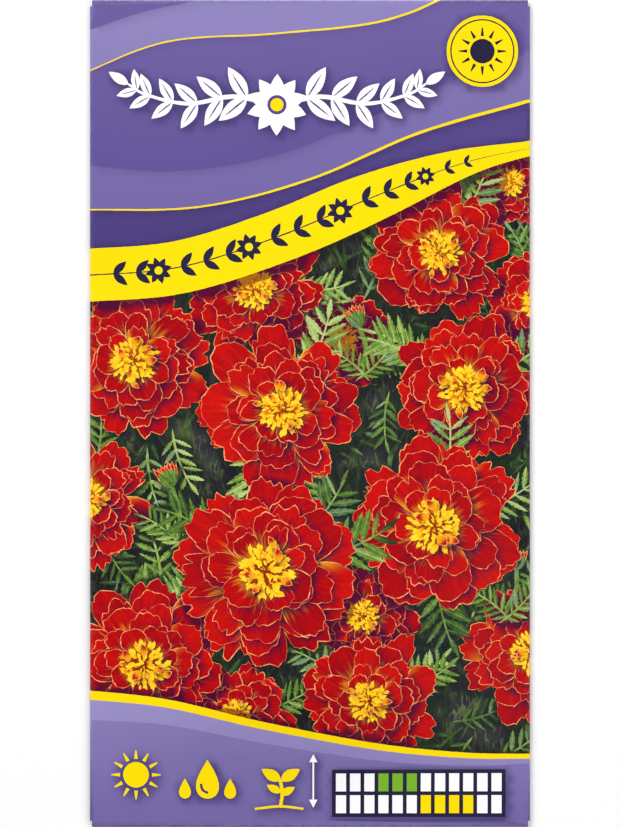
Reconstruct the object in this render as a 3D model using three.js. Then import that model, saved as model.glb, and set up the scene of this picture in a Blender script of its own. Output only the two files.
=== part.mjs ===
// A filled paper seed packet, lying on its back. One printed sheet is folded into a flat pouch: a front
// panel, two wings that lap and are glued behind it, and a flap at each end that is folded over the wings and
// glued down. Loose seeds lie inside. Millimetres, +Z up. X runs across the packet and +Y towards its top
// end. The origin lies under the middle of the packet, on the surface that it rests on.
import * as THREE from "three";

// The packet
const WIDTH = 80; // across the front panel
const HEIGHT = 150.4; // from the bottom fold to the top fold
const PAPER = 0.15; // thickness of the coated sheet
const GLUE = 0.05; // thickness of a dried line of glue
const SIDE_FOLD = 0.3; // radius of a side fold, at the middle of the paper

// The back
const SEAM_FROM = 18; // x of the inner wing's cut edge, which the outer wing hides
const SEAM_TO = 28; // x of the outer wing's cut edge
const DRAPE_FROM = 28.4; // from here to DRAPE_TO the inner wing comes down to the outer wing's level
const DRAPE_TO = 32.5;
const WING_END = 74; // the wings are cut off here, just inside the end folds
const BOTTOM_FLAP = 14; // depth of each flap, from the end fold to its cut edge
const TOP_FLAP = 17;
const FLAP_TAPER = 0.1; // share of its width that a flap loses towards its cut edge
const GLUE_INSET = 1.5; // from a lap's or a flap's edge to its line of glue
const FLAP_GLUE = 8; // width of a flap's line of glue

// The seeds raise the front panel, most of all a third of the way up, where they settled
const RISE = 3.3; // of the front panel above its own edges
const RISE_AT = 0.25; // of the way from the bottom fold to the top one
const RISE_SPREAD = 0.2;
const RISE_ROUNDING = 1.25; // above 1, the bulge runs out flat towards the side folds
const RISE_STARTS = 0.15; // of the way up, where the pinched bottom end has opened out
const RISE_ENDS = 0.9; // of the way up, where the top end starts to pinch it flat again
const SLACK = 0.2; // the share of the rise that the empty upper part springs open by

// One seed: a slim dark achene with a tuft of pale scales behind it
const SEED_PROFILE = [
  [0, 0],
  [0.16, 0.1],
  [0.36, 1.3],
  [0.42, 3.2],
  [0.36, 5.2],
  [0.2, 6.0],
  [0.3, 7.2],
  [0.2, 8.6],
  [0, 8.8],
]; // radius and distance from the tip
const SEED_SIDES = 6;
const SEED_STEPS = 8; // of its length, when its distance from another seed is measured
const SEED_RADIUS = 0.42;
const SEED_LENGTH = 8.8;
const SEED_GAP = 0.1;
const LAYERS = [22, 12, 6]; // seeds in each layer of the heap, from the bottom up
const HEAP = { x: 28, low: -68, high: -38 }; // half its width, and its ends
const HEAP_SHRINK = 0.2; // the share by which each layer is smaller than the one below it
const DRAW_SEED = 20;

// Flat pieces that each bend or curved panel is made of
const FOLD_FACES = 5;
const FRONT_COLUMNS = 22;
const PANEL_ROWS = 30;
const DRAPE_FACES = 4;
const FLAP_FACES = 2;
const OUTER_WING_STATIONS = [SEAM_TO, 10, -10, -28];

// Heights of the middle of the paper, from the table up
const flapZ = PAPER / 2;
const outerWingZ = flapZ + PAPER + GLUE;
const innerWingZ = outerWingZ + PAPER + GLUE;
const frontZ = outerWingZ + 2 * SIDE_FOLD;
const endFold = (frontZ - flapZ) / 2;

// Where the front panel stops and its folds begin
const frontX = WIDTH / 2 - PAPER / 2 - SIDE_FOLD;
const frontY = HEIGHT / 2 - PAPER / 2 - endFold;

const smoothstep = THREE.MathUtils.smoothstep;

/** Height of the bulge of the front panel over its own edges. */
function rise(x, y) {
  const across = Math.max(0, 1 - (x / frontX) ** 2) ** RISE_ROUNDING;
  const up = (y + frontY) / (2 * frontY);
  const heap = Math.exp(-(((up - RISE_AT) / RISE_SPREAD) ** 2));
  const ends = smoothstep(up, 0, RISE_STARTS) * (1 - smoothstep(up, RISE_ENDS, 1));
  return RISE * across * ends * (SLACK + (1 - SLACK) * heap);
}

/** Outward normal of the front panel, from the bulge's slope over a short step inside the panel. */
function frontNormal(x, y) {
  const step = 0.01;
  const inside = (v, limit) => THREE.MathUtils.clamp(v, -limit, limit);
  const [x0, x1] = [inside(x - step, frontX), inside(x + step, frontX)];
  const [y0, y1] = [inside(y - step, frontY), inside(y + step, frontY)];
  const dx = (rise(x1, y) - rise(x0, y)) / (x1 - x0);
  const dy = (rise(x, y1) - rise(x, y0)) / (y1 - y0);
  return new THREE.Vector3(-dx, -dy, 1).normalize();
}

/** Height of the inner wing, which drapes off the outer wing's edge. */
function innerWingHeight(x) {
  return THREE.MathUtils.lerp(innerWingZ, outerWingZ, smoothstep(x, DRAPE_FROM, DRAPE_TO));
}

const down = new THREE.Vector3(0, 0, -1);

/** The shares 0 to 1 of the way along, in count equal steps. */
function range(count) {
  return Array.from({ length: count + 1 }, (_, i) => i / count);
}

/** A point of the middle of the paper and the paper's outward normal there. */
function place(x, y, z, normal) {
  return { point: new THREE.Vector3(x, y, z), normal };
}

/**
 * Stations across the sheet, from the outer wing's cut edge round the front to the inner wing's. Each gives a
 * point of the middle of the paper and its outward normal, for any y.
 */
function stationsAcross() {
  const wing = (x, height) => ({ at: (y) => place(x, y, height, down) });
  const fold = (side, turn) => ({
    at: (y) => {
      const normal = new THREE.Vector3(side * Math.sin(turn), 0, -Math.cos(turn));
      const centre = new THREE.Vector3(side * frontX, y, outerWingZ + SIDE_FOLD);
      return { point: centre.addScaledVector(normal, SIDE_FOLD), normal };
    },
  });
  const front = (x) => ({
    front: true,
    at: (y) => place(x, y, frontZ + rise(x, y), frontNormal(x, y)),
  });
  const foldTurns = range(FOLD_FACES).slice(0, -1).map((share) => share * Math.PI);
  return [
    ...OUTER_WING_STATIONS.map((x) => wing(x, outerWingZ)),
    ...foldTurns.map((turn) => fold(-1, turn)),
    ...range(FRONT_COLUMNS).map((share) => front(THREE.MathUtils.lerp(-frontX, frontX, share))),
    ...foldTurns.toReversed().map((turn) => fold(1, turn)),
    ...range(DRAPE_FACES).toReversed().map((share) => {
      const x = THREE.MathUtils.lerp(DRAPE_FROM, DRAPE_TO, share);
      return wing(x, innerWingHeight(x));
    }),
    wing(SEAM_FROM, innerWingZ),
  ];
}

/**
 * Rows up the sheet, from the bottom flap's cut edge to the top flap's. A row past the wings carries the
 * front panel on round the end fold and back under the wings.
 */
function rowsUp() {
  const panel = range(PANEL_ROWS).map((share) => {
    const y = THREE.MathUtils.lerp(-WING_END, WING_END, share);
    return { wings: true, at: (station) => station.at(y) };
  });
  const end = (side, depth) => {
    const edge = { at: (station) => station.at(side * frontY) };
    const folds = range(FOLD_FACES).slice(1).map((share) => ({
      at: (station) => {
        const turn = share * Math.PI;
        const normal = new THREE.Vector3(0, side * Math.sin(turn), Math.cos(turn));
        const centre = new THREE.Vector3(station.at(0).point.x, side * frontY, flapZ + endFold);
        return { point: centre.addScaledVector(normal, endFold), normal };
      },
    }));
    const flap = range(FLAP_FACES).slice(1).map((share) => ({
      at: (station) => {
        const x = station.at(0).point.x * (1 - FLAP_TAPER * share);
        return place(x, side * (frontY - depth * share), flapZ, down);
      },
    }));
    return [edge, ...folds, ...flap];
  };
  return [...end(-1, BOTTOM_FLAP).toReversed(), ...panel, ...end(1, TOP_FLAP)];
}

/** The folded sheet: two skins half the paper's thickness off its middle, joined along the cut edges. */
function foldedSheet() {
  const stations = stationsAcross();
  const rows = rowsUp();
  const positions = [];
  const faces = [];
  const corners = new Map();
  const corner = (i, j) => {
    const key = i * rows.length + j;
    if (!corners.has(key)) {
      const { point, normal } = rows[j].at(stations[i]);
      corners.set(key, positions.length / 3);
      positions.push(...point.clone().addScaledVector(normal, PAPER / 2));
      positions.push(...point.clone().addScaledVector(normal, -PAPER / 2));
    }
    return corners.get(key);
  };
  const edges = new Map();
  for (let i = 0; i + 1 < stations.length; i++) {
    for (let j = 0; j + 1 < rows.length; j++) {
      const onFront = stations[i].front && stations[i + 1].front;
      if (!onFront && !(rows[j].wings && rows[j + 1].wings)) continue;
      const [a, b, c, d] = [corner(i, j), corner(i + 1, j), corner(i + 1, j + 1), corner(i, j + 1)];
      faces.push([a, b, c], [a, c, d]);
      faces.push([a + 1, c + 1, b + 1], [a + 1, d + 1, c + 1]);
      for (const [from, to] of [[a, b], [b, c], [c, d], [d, a]]) {
        if (!edges.delete(`${to},${from}`)) edges.set(`${from},${to}`, [from, to]);
      }
    }
  }
  for (const [from, to] of edges.values()) {
    faces.push([to, from, from + 1], [to, from + 1, to + 1]);
  }
  const geometry = new THREE.BufferGeometry();
  geometry.setAttribute("position", new THREE.Float32BufferAttribute(positions, 3));
  geometry.setIndex(faces.flat());
  return geometry;
}

/** A flat line of glue between two layers of paper. */
function glueLine(left, right, near, far, low) {
  const geometry = new THREE.BoxGeometry(right - left, far - near, GLUE);
  return geometry.translate((left + right) / 2, (near + far) / 2, low + GLUE / 2);
}

/** A repeatable stream of random numbers from 0 to 1. */
function random(seed) {
  let state = seed;
  return () => {
    state = (state + 0x6d2b79f5) | 0;
    let mixed = Math.imul(state ^ (state >>> 15), 1 | state);
    mixed = (mixed + Math.imul(mixed ^ (mixed >>> 7), 61 | mixed)) ^ mixed;
    return ((mixed ^ (mixed >>> 14)) >>> 0) / 4294967296;
  };
}

/** Points along a seed's middle line, in plan. */
function seedLine(x, y, angle) {
  return range(SEED_STEPS).map((share) => {
    const along = (share - 0.5) * SEED_LENGTH;
    return new THREE.Vector2(x + along * Math.cos(angle), y + along * Math.sin(angle));
  });
}

/** Least distance in plan between two seeds' middle lines. For seeds too far apart to meet it is infinite. */
function seedDistance(one, other) {
  const reach = SEED_LENGTH + 2 * (SEED_RADIUS + SEED_GAP);
  if (Math.hypot(one.x - other.x, one.y - other.y) > reach) return Infinity;
  return Math.min(...one.line.flatMap((p) => other.line.map((q) => p.distanceTo(q))));
}

/**
 * Lays the seeds in layers, as they come to rest: side by side within a layer, and across at least two of the
 * seeds below. A draw that touches a neighbour or the paper is dropped.
 */
function layHeap() {
  const draw = random(DRAW_SEED);
  const side = 2 * SEED_RADIUS + SEED_GAP;
  const laid = [];
  LAYERS.forEach((count, layer) => {
    const below = laid.filter((seed) => seed.layer === layer - 1);
    const shrink = 1 - HEAP_SHRINK * layer;
    const middle = (HEAP.low + HEAP.high) / 2;
    const floor = innerWingZ + PAPER / 2 + SEED_GAP + SEED_RADIUS;
    while (laid.filter((seed) => seed.layer === layer).length < count) {
      const x = HEAP.x * shrink * (2 * draw() - 1);
      const y = middle + (HEAP.high - HEAP.low) * shrink * (draw() - 0.5);
      const z = floor + layer * side;
      const angle = 2 * Math.PI * draw();
      const seed = { layer, x, y, z, angle, line: seedLine(x, y, angle) };
      const beside = laid.filter((other) => other.layer === layer);
      const clear = beside.every((other) => seedDistance(seed, other) > side + SEED_GAP);
      const carried = below.filter((other) => seedDistance(seed, other) < SEED_RADIUS).length;
      const covered = seed.line.every(
        (p) => frontZ + rise(p.x, p.y) - PAPER / 2 - SEED_RADIUS - SEED_GAP > z,
      );
      if (clear && covered && (layer === 0 || carried >= 2)) laid.push(seed);
    }
  });
  return laid;
}

const printedPaper = new THREE.MeshStandardMaterial({ color: 0x7567ab, roughness: 0.4 });
const driedGlue = new THREE.MeshStandardMaterial({ color: 0xe9e4d2, roughness: 0.5 });
const achene = new THREE.MeshStandardMaterial({ color: 0x2b2622, roughness: 0.8 });

const packet = new THREE.Group();

/** Puts a named piece into the packet. */
function add(name, geometry, material) {
  const mesh = new THREE.Mesh(geometry, material);
  mesh.name = name;
  packet.add(mesh);
  return mesh;
}

add("folded_sheet", foldedSheet(), printedPaper);

const onFlap = flapZ + PAPER / 2;
const onOuterWing = outerWingZ + PAPER / 2;
const glueX = frontX * (1 - FLAP_TAPER) - GLUE_INSET;
const bottomGlueEdge = -frontY + BOTTOM_FLAP - GLUE_INSET;
const topGlueEdge = frontY - TOP_FLAP + GLUE_INSET;
const lapEnd = WING_END - GLUE_INSET;
const seamGlue = glueLine(SEAM_FROM + GLUE_INSET, SEAM_TO - GLUE_INSET, -lapEnd, lapEnd, onOuterWing);
const bottomFlapGlue = glueLine(-glueX, glueX, bottomGlueEdge - FLAP_GLUE, bottomGlueEdge, onFlap);
const topFlapGlue = glueLine(-glueX, glueX, topGlueEdge, topGlueEdge + FLAP_GLUE, onFlap);
add("seam_glue", seamGlue, driedGlue);
add("bottom_flap_glue", bottomFlapGlue, driedGlue);
add("top_flap_glue", topFlapGlue, driedGlue);

const seedShape = new THREE.LatheGeometry(
  SEED_PROFILE.map(([radius, along]) => new THREE.Vector2(radius, along - SEED_LENGTH / 2)),
  SEED_SIDES,
);
layHeap().forEach(({ x, y, z, angle }, index) => {
  const seed = add(`seed_${String(index + 1).padStart(2, "0")}`, seedShape, achene);
  seed.position.set(x, y, z);
  seed.rotation.z = angle - Math.PI / 2;
});

export default packet;
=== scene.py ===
"""A filled paper seed packet on its back: one printed sheet folded into a pouch, its glue and its seeds.

The print is drawn as patches on the flat sheet, in millimetres, with u across it and v up it. The patches
are cut where they overlap, and the cut sheet is folded as the packet is, so that every printed edge is an
edge of the mesh.
"""
from __future__ import annotations

import logging
import math
from collections.abc import Sequence
from dataclasses import dataclass, field
from enum import Enum
from functools import cached_property

import bpy
import numpy as np
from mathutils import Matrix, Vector
from mathutils.geometry import delaunay_2d_cdt

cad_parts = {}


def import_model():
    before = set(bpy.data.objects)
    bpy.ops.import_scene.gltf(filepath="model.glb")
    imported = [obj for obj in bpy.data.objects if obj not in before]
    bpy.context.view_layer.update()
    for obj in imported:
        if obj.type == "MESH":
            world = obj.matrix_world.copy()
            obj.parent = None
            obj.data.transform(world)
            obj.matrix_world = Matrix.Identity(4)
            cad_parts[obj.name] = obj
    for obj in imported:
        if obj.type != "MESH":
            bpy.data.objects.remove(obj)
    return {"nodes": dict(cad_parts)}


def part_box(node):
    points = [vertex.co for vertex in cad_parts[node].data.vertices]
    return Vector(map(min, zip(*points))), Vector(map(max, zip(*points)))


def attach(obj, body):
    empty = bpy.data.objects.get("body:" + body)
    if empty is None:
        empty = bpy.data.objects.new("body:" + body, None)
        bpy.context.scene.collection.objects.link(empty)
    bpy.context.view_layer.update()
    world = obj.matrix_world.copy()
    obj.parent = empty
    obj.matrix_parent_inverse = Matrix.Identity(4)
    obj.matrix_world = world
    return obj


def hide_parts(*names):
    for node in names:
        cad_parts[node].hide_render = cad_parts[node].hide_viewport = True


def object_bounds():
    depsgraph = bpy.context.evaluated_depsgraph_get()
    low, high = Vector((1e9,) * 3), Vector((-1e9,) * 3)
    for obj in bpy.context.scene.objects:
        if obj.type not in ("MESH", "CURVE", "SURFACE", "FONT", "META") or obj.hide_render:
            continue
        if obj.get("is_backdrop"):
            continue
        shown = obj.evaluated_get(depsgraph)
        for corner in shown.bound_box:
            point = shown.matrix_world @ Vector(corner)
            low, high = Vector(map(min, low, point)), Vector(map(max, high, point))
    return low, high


LOG = logging.getLogger("seed_packet")
MM = 0.001
TURN = 2 * math.pi
BODY = "root"
IMAGE_HEIGHT_MM = 150.4  # the packet fills the picture from its bottom edge to its top one
HEAD_LIFT = 90.0  # how high the head and foot of the front seem to lie over the pictured flowers

Array = np.ndarray
Outline = np.ndarray
Point = tuple[float, float]
Colour = tuple[float, float, float]
Material = bpy.types.Material
Mesh = bpy.types.Mesh
Object = bpy.types.Object
Socket = bpy.types.NodeSocket
Inputs = dict[str | int, object]


def srgb(red: int, green: int, blue: int) -> Colour:
    """Turns a colour as printed on screen into the linear one that the shaders use."""
    shares = (red / 255, green / 255, blue / 255)
    return tuple(s / 12.92 if s <= 0.04045 else ((s + 0.055) / 1.055) ** 2.4 for s in shares)


def smoothstep(value: Array, low: float, high: float) -> Array:
    """Goes smoothly from 0 at low to 1 at high."""
    share = np.clip((value - low) / (high - low), 0.0, 1.0)
    return share * share * (3 - 2 * share)


def solid_box(name: str) -> tuple[Array, Array]:
    """The low and high corners of a solid's box, in millimetres."""
    low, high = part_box(name)
    return np.array(low) / MM, np.array(high) / MM


def add_object(name: str, data: bpy.types.ID) -> Object:
    """Adds an object to the scene.

    Args:
        name: Its name.
        data: Its mesh, light or camera.

    Returns:
        The object.
    """
    made = bpy.data.objects.new(name, data)
    bpy.context.scene.collection.objects.link(made)
    return made


def add_mesh(name: str, points: Array, faces: Sequence[Sequence[int]] = (), *finishes: Material) -> Object:
    """Adds an object with a mesh to the scene.

    Args:
        name: Its name.
        points: Its points, in millimetres.
        faces: Its faces.
        *finishes: Its materials.

    Returns:
        The object.
    """
    mesh = bpy.data.meshes.new(name)
    mesh.from_pydata((points * MM).tolist(), [], np.asarray(faces).tolist())
    for finish in finishes:
        mesh.materials.append(finish)
    return add_object(name, mesh)


def store(mesh: Mesh, name: str, domain: str, values: Array) -> None:
    """Keeps a number or a vector for each point or corner of a mesh."""
    kind, key = ("FLOAT", "value") if values.ndim == 1 else ("FLOAT_VECTOR", "vector")
    mesh.attributes.new(name, kind, domain).data.foreach_set(key, values.ravel())


# Folding --------------------------------------------------


@dataclass(frozen=True)
class Seed:
    """Where one loose seed lies, in millimetres."""

    middle: Array
    along: Array
    length: float


@dataclass
class Folding:
    """How the flat sheet becomes the packet, in millimetres. The folded sheet's sizes come from the frame.

    Heights are those of the middle of the paper. The back reach is what the flat sheet's u and a wing's x add
    up to.
    """

    width: float
    height: float
    paper: float
    glue: float
    seam_from: float
    seam_to: float
    wing_end: float
    bottom_edge: float
    top_edge: float
    seeds: tuple[Seed, ...] = ()
    side_radius: float = 0.3
    flap_taper: float = 0.1
    drape: tuple[float, float] = (0.4, 4.5)
    rise: float = 3.3
    rise_at: float = 0.25
    rise_spread: float = 0.2
    rise_rounding: float = 1.25
    rise_starts: float = 0.15
    rise_ends: float = 0.9
    slack: float = 0.2
    ripple: float = 0.07
    waves: tuple[tuple[float, float, float, float], ...] = (
        (1.0, 0.11, 0.06, 0.7), (0.7, -0.05, 0.17, 2.1), (0.5, 0.23, -0.12, 4.0), (0.35, 0.31, 0.27, 1.3),
    )
    seed_ridge: float = 0.1
    seed_share: float = 0.42
    seed_blur: float = 1.1
    back_sag: float = 0.1
    fold_steps: int = 8

    def __post_init__(self) -> None:
        """Works out the sizes that follow from the given ones."""
        self.flap_z = self.paper / 2
        self.outer_wing_z = self.flap_z + self.paper + self.glue
        self.inner_wing_z = self.outer_wing_z + self.paper + self.glue
        self.front_z = self.outer_wing_z + 2 * self.side_radius
        self.end_radius = (self.front_z - self.flap_z) / 2
        self.front_x = self.width / 2 - self.paper / 2 - self.side_radius
        self.front_y = self.height / 2 - self.paper / 2 - self.end_radius
        self.side_arc = math.pi * self.side_radius
        self.end_arc = math.pi * self.end_radius
        self.back_reach = 2 * self.front_x + self.side_arc

    def outline(self) -> Outline:
        """The flat sheet's cut edge, counter-clockwise."""
        outer = -(self.seam_to + self.back_reach)
        inner = self.back_reach - self.seam_from
        fold = self.front_y + self.end_arc
        bottom = -(fold + self.front_y + self.bottom_edge)
        top = fold + self.front_y - self.top_edge
        side, narrow, end = self.front_x, self.front_x * (1 - self.flap_taper), self.wing_end
        return np.array(
            [
                (-narrow, bottom), (narrow, bottom), (side, -fold), (side, -end), (inner, -end), (inner, end),
                (side, end), (side, fold), (narrow, top), (-narrow, top), (-side, fold), (-side, end),
                (outer, end), (outer, -end), (-side, -end), (-side, -fold),
            ]
        )

    def bulge(self, x: Array, y: Array) -> Array:
        """Height of the front panel over its own edges.

        Args:
            x: Places across the panel.
            y: Places up the panel.

        Returns:
            The rise at each place, from the pouch's bulge, the paper's ripples and the seeds under it.
        """
        across = np.maximum(0.0, 1 - (x / self.front_x) ** 2)
        up = (y + self.front_y) / (2 * self.front_y)
        heap = np.exp(-(((up - self.rise_at) / self.rise_spread) ** 2))
        ends = smoothstep(up, 0, self.rise_starts) * (1 - smoothstep(up, self.rise_ends, 1))
        shape = self.rise * across**self.rise_rounding * ends * (self.slack + (1 - self.slack) * heap)
        loose = across * smoothstep(up, 0, 0.05) * (1 - smoothstep(up, 0.95, 1))
        waves = sum(size * np.sin(right * x + high * y + start) for size, right, high, start in self.waves)
        ridges = np.zeros_like(x)
        for seed in self.seeds:
            dx, dy = x - seed.middle[0], y - seed.middle[1]
            along = np.abs(dx * seed.along[0] + dy * seed.along[1]) - seed.length * self.seed_share
            beside = dx * seed.along[1] - dy * seed.along[0]
            gap = np.hypot(np.maximum(along, 0.0), beside)
            ridges = np.maximum(ridges, np.exp(-((gap / self.seed_blur) ** 2)))
        return shape + loose * (self.ripple * waves + self.seed_ridge * ridges)

    def sag(self, x: Array, y: Array) -> Array:
        """How far the back hangs between its two flaps.

        Args:
            x: Places across the back.
            y: Places up the back.

        Returns:
            The drop at each place, none over the flaps and at the side folds.
        """
        between = smoothstep(y, self.bottom_edge, self.bottom_edge + 12)
        between = between * (1 - smoothstep(y, self.top_edge - 12, self.top_edge))
        across = np.maximum(0.0, 1 - (x / self.front_x) ** 2)
        waves = 0.75 + 0.25 * np.sin(0.13 * x + 0.4) * np.sin(0.09 * y + 1.2)
        return self.back_sag * between * across * waves

    def skin(self, flat: Array, offset: float) -> Array:
        """Folds points of one face of the paper.

        Args:
            flat: Points of the flat sheet, one row each.
            offset: How far the face lies out from the middle of the paper.

        Returns:
            The folded places.
        """
        u, v = flat[:, 0], flat[:, 1]
        side, end = np.sign(u), np.sign(v)
        past_x = np.abs(u) - self.front_x
        past_y = np.abs(v) - self.front_y
        zero, one = np.zeros_like(u), np.ones_like(u)
        step = 0.05
        x = np.clip(u, -self.front_x, self.front_x)
        y = np.clip(v, -self.front_y, self.front_y)
        slope_x = (self.bulge(x + step, y) - self.bulge(x - step, y)) / (2 * step)
        slope_y = (self.bulge(x, y + step) - self.bulge(x, y - step)) / (2 * step)
        place = np.stack([u, v, self.front_z + self.bulge(x, y)], axis=1)
        normal = np.stack([-slope_x, -slope_y, one], axis=1)
        turn = np.clip(past_x / self.side_radius, 0, math.pi)
        folded = np.stack([side * np.sin(turn), zero, np.cos(turn)], axis=1)
        centre = np.stack([side * self.front_x, v, self.outer_wing_z + self.side_radius * one], axis=1)
        in_side = past_x > 0
        place[in_side] = (centre + self.side_radius * folded)[in_side]
        normal[in_side] = folded[in_side]
        in_wing = past_x > self.side_arc
        back_x = side * (self.front_x - (past_x - self.side_arc))
        drape = smoothstep(back_x, self.seam_to + self.drape[0], self.seam_to + self.drape[1])
        inner = self.inner_wing_z + (self.outer_wing_z - self.inner_wing_z) * drape
        height = np.where(side > 0, inner, self.outer_wing_z) - self.sag(back_x, v)
        place[in_wing] = np.stack([back_x, v, height], axis=1)[in_wing]
        turn = np.clip(past_y / self.end_radius, 0, math.pi)
        folded = np.stack([zero, end * np.sin(turn), np.cos(turn)], axis=1)
        centre = np.stack([u, end * self.front_y, self.flap_z + self.end_radius * one], axis=1)
        in_end = past_y > 0
        place[in_end] = (centre + self.end_radius * folded)[in_end]
        normal[in_end] = folded[in_end]
        in_flap = past_y > self.end_arc
        back_y = end * (self.front_y - (past_y - self.end_arc))
        place[in_flap] = np.stack([u, back_y, self.flap_z * one], axis=1)[in_flap]
        return place + offset * (normal / np.linalg.norm(normal, axis=1)[:, None])

    def creases(self) -> Array:
        """The straight lines along the folds and the drape, where the mesh bends: two ends each."""
        lines = []
        for share in np.linspace(0, 1, self.fold_steps + 1):
            for side in (-1, 1):
                u = side * (self.front_x + share * self.side_arc)
                v = side * (self.front_y + share * self.end_arc)
                lines.append(((u, -self.wing_end), (u, self.wing_end)))
                lines.append(((-self.front_x, v), (self.front_x, v)))
            u = self.back_reach - self.seam_to - self.drape[0] - share * (self.drape[1] - self.drape[0])
            lines.append(((u, -self.wing_end), (u, self.wing_end)))
        return np.array(lines)

    def wear(self, flat: Array) -> Array:
        """How much the print is rubbed.

        Args:
            flat: Points of the flat sheet, one row each.

        Returns:
            From 0, not at all, to 1, along the outside of the folds.
        """
        along_side = np.abs(flat[:, 0]) - self.front_x - 0.35 * self.side_arc
        along_end = np.abs(flat[:, 1]) - self.front_y - 0.35 * self.end_arc
        rubbed = np.exp(-((along_side / 0.3) ** 2)) + np.exp(-((along_end / 0.4) ** 2))
        return np.minimum(rubbed, 1.0)


def read_folding(frame: dict) -> Folding:
    """Reads the folded sheet's sizes from the frame.


    Returns:
        The folding, in millimetres.
    """
    margin = 1.5  # from a lap's or a flap's edge to its line of glue
    low, high = solid_box("folded_sheet")
    seam_low, seam_high = solid_box("seam_glue")
    bottom_low, bottom_high = solid_box("bottom_flap_glue")
    top_low, _ = solid_box("top_flap_glue")
    seeds = [obj for name, obj in sorted(frame["nodes"].items()) if name.startswith("seed_")]
    return Folding(
        width=high[0] - low[0],
        height=high[1] - low[1],
        paper=bottom_low[2],
        glue=bottom_high[2] - bottom_low[2],
        seam_from=seam_low[0] - margin,
        seam_to=seam_high[0] + margin,
        wing_end=seam_high[1] + margin,
        bottom_edge=bottom_high[1] + margin,
        top_edge=top_low[1] - margin,
        seeds=tuple(map(read_seed, seeds)),
    )


def read_seed(obj: Object) -> Seed:
    """Reads where a seed lies from its solid.

    Args:
        obj: The seed's solid.

    Returns:
        The seed, pointing from its tip to its tuft.
    """
    points = np.array([v.co for v in obj.data.vertices]) / MM
    middle = (points.min(axis=0) + points.max(axis=0)) / 2
    along = np.linalg.svd(points - points.mean(axis=0))[2][0]
    reach = (points - middle) @ along
    wide = np.linalg.norm(points - middle - reach[:, None] * along, axis=1)
    if reach[wide > 0.95 * wide.max()].mean() > 0:
        along = -along
    return Seed(middle=middle, along=along, length=float(reach.max() - reach.min()))


# Drawing --------------------------------------------------


@dataclass(frozen=True)
class Spot:
    """A patch's own directions, which its ink's pattern follows.

    Along them v runs from 0 to 1 over the length, and u from -1 to 1 over the spread to each side. Round a
    middle, the spread is an angle.
    """

    origin: Point = (0.0, 0.0)
    turn: float = math.pi / 2
    length: float = 100.0
    spread: float = 40.0
    round_middle: bool = False

    def at(self, points: Array) -> Array:
        """Reads u and v.

        Args:
            points: Points of the flat sheet, one row each.

        Returns:
            u and v of each point.
        """
        gap = points - np.array(self.origin)
        if self.round_middle:
            angle = np.arctan2(gap[:, 1], gap[:, 0]) - self.turn
            across = (angle + math.pi) % TURN - math.pi
            return np.stack([across / self.spread, np.hypot(gap[:, 0], gap[:, 1]) / self.length], axis=1)
        ahead = np.array((math.cos(self.turn), math.sin(self.turn)))
        aside = np.array((-ahead[1], ahead[0]))
        return np.stack([gap @ aside / self.spread, gap @ ahead / self.length], axis=1)


@dataclass(frozen=True)
class Patch:
    """One printed shape on the flat sheet. A patch hides those that were drawn before it."""

    outline: Outline
    ink: Ink
    tone: float = 0.5
    lift: float = 0.0
    spot: Spot = Spot()


def counter_clockwise(outline: Outline) -> Outline:
    """Turns an outline round if it runs clockwise."""
    area = np.sum(outline[:, 0] * (np.roll(outline[:, 1], -1) - np.roll(outline[:, 1], 1)))
    return outline if area > 0 else outline[::-1]


def inset(outline: Outline, depth: Array | float) -> Outline:
    """Moves an outline inwards.

    Args:
        outline: A closed outline that runs counter-clockwise.
        depth: How far each point moves.

    Returns:
        The smaller outline.
    """
    forward = np.roll(outline, -1, axis=0) - outline
    edge = np.stack([-forward[:, 1], forward[:, 0]], axis=1)
    edge /= np.maximum(np.linalg.norm(edge, axis=1), 1e-9)[:, None]
    inward = edge + np.roll(edge, 1, axis=0)
    inward /= np.maximum(np.linalg.norm(inward, axis=1), 0.7)[:, None]
    return outline + inward * np.reshape(depth, (-1, 1))


def box_outline(left: float, low: float, right: float, high: float) -> Outline:
    """A rectangle's outline, from its left, low, right and high sides."""
    return np.array([(left, low), (right, low), (right, high), (left, high)])


def disc(centre: Point, radius: float, steps: int = 24) -> Outline:
    """A round outline."""
    turns = np.linspace(0, TURN, steps, endpoint=False)
    return np.array(centre) + radius * np.stack([np.cos(turns), np.sin(turns)], axis=1)


def smooth_path(points: Sequence[Point], steps: int = 8) -> Array:
    """Runs a smooth curve through points.

    Args:
        points: The points, in order.
        steps: How many pieces each stretch gets.

    Returns:
        Points along the curve, both ends among them.
    """
    knots = np.array(points, dtype=float)
    padded = np.vstack([2 * knots[0] - knots[1], knots, 2 * knots[-1] - knots[-2]])
    share = np.linspace(0, 1, steps, endpoint=False)[:, None]
    pieces = []
    for before, start, stop, after in zip(padded, padded[1:], padded[2:], padded[3:]):
        line = (stop - before) * share
        square = (2 * before - 5 * start + 4 * stop - after) * share**2
        cube = (3 * start - before - 3 * stop + after) * share**3
        pieces.append((2 * start + line + square + cube) / 2)
    return np.vstack([*pieces, knots[-1:]])


def ribbon(path: Array, widths: Array | float) -> Outline:
    """A band along a path.

    Args:
        path: Points of its middle line.
        widths: Its width at each point.

    Returns:
        The band's outline.
    """
    ahead = np.gradient(path, axis=0)
    aside = np.stack([-ahead[:, 1], ahead[:, 0]], axis=1)
    aside /= np.maximum(np.linalg.norm(aside, axis=1), 1e-9)[:, None]
    half = np.broadcast_to(np.asarray(widths, dtype=float) / 2, (len(path),))[:, None]
    return np.vstack([path + aside * half, (path - aside * half)[::-1]])


def turned(outline: Outline, turn: float, place: Point, scale: float = 1.0) -> Outline:
    """Turns an outline about the origin and moves it."""
    spin = np.array([(math.cos(turn), math.sin(turn)), (-math.sin(turn), math.cos(turn))])
    return scale * outline @ spin + np.array(place)


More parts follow.
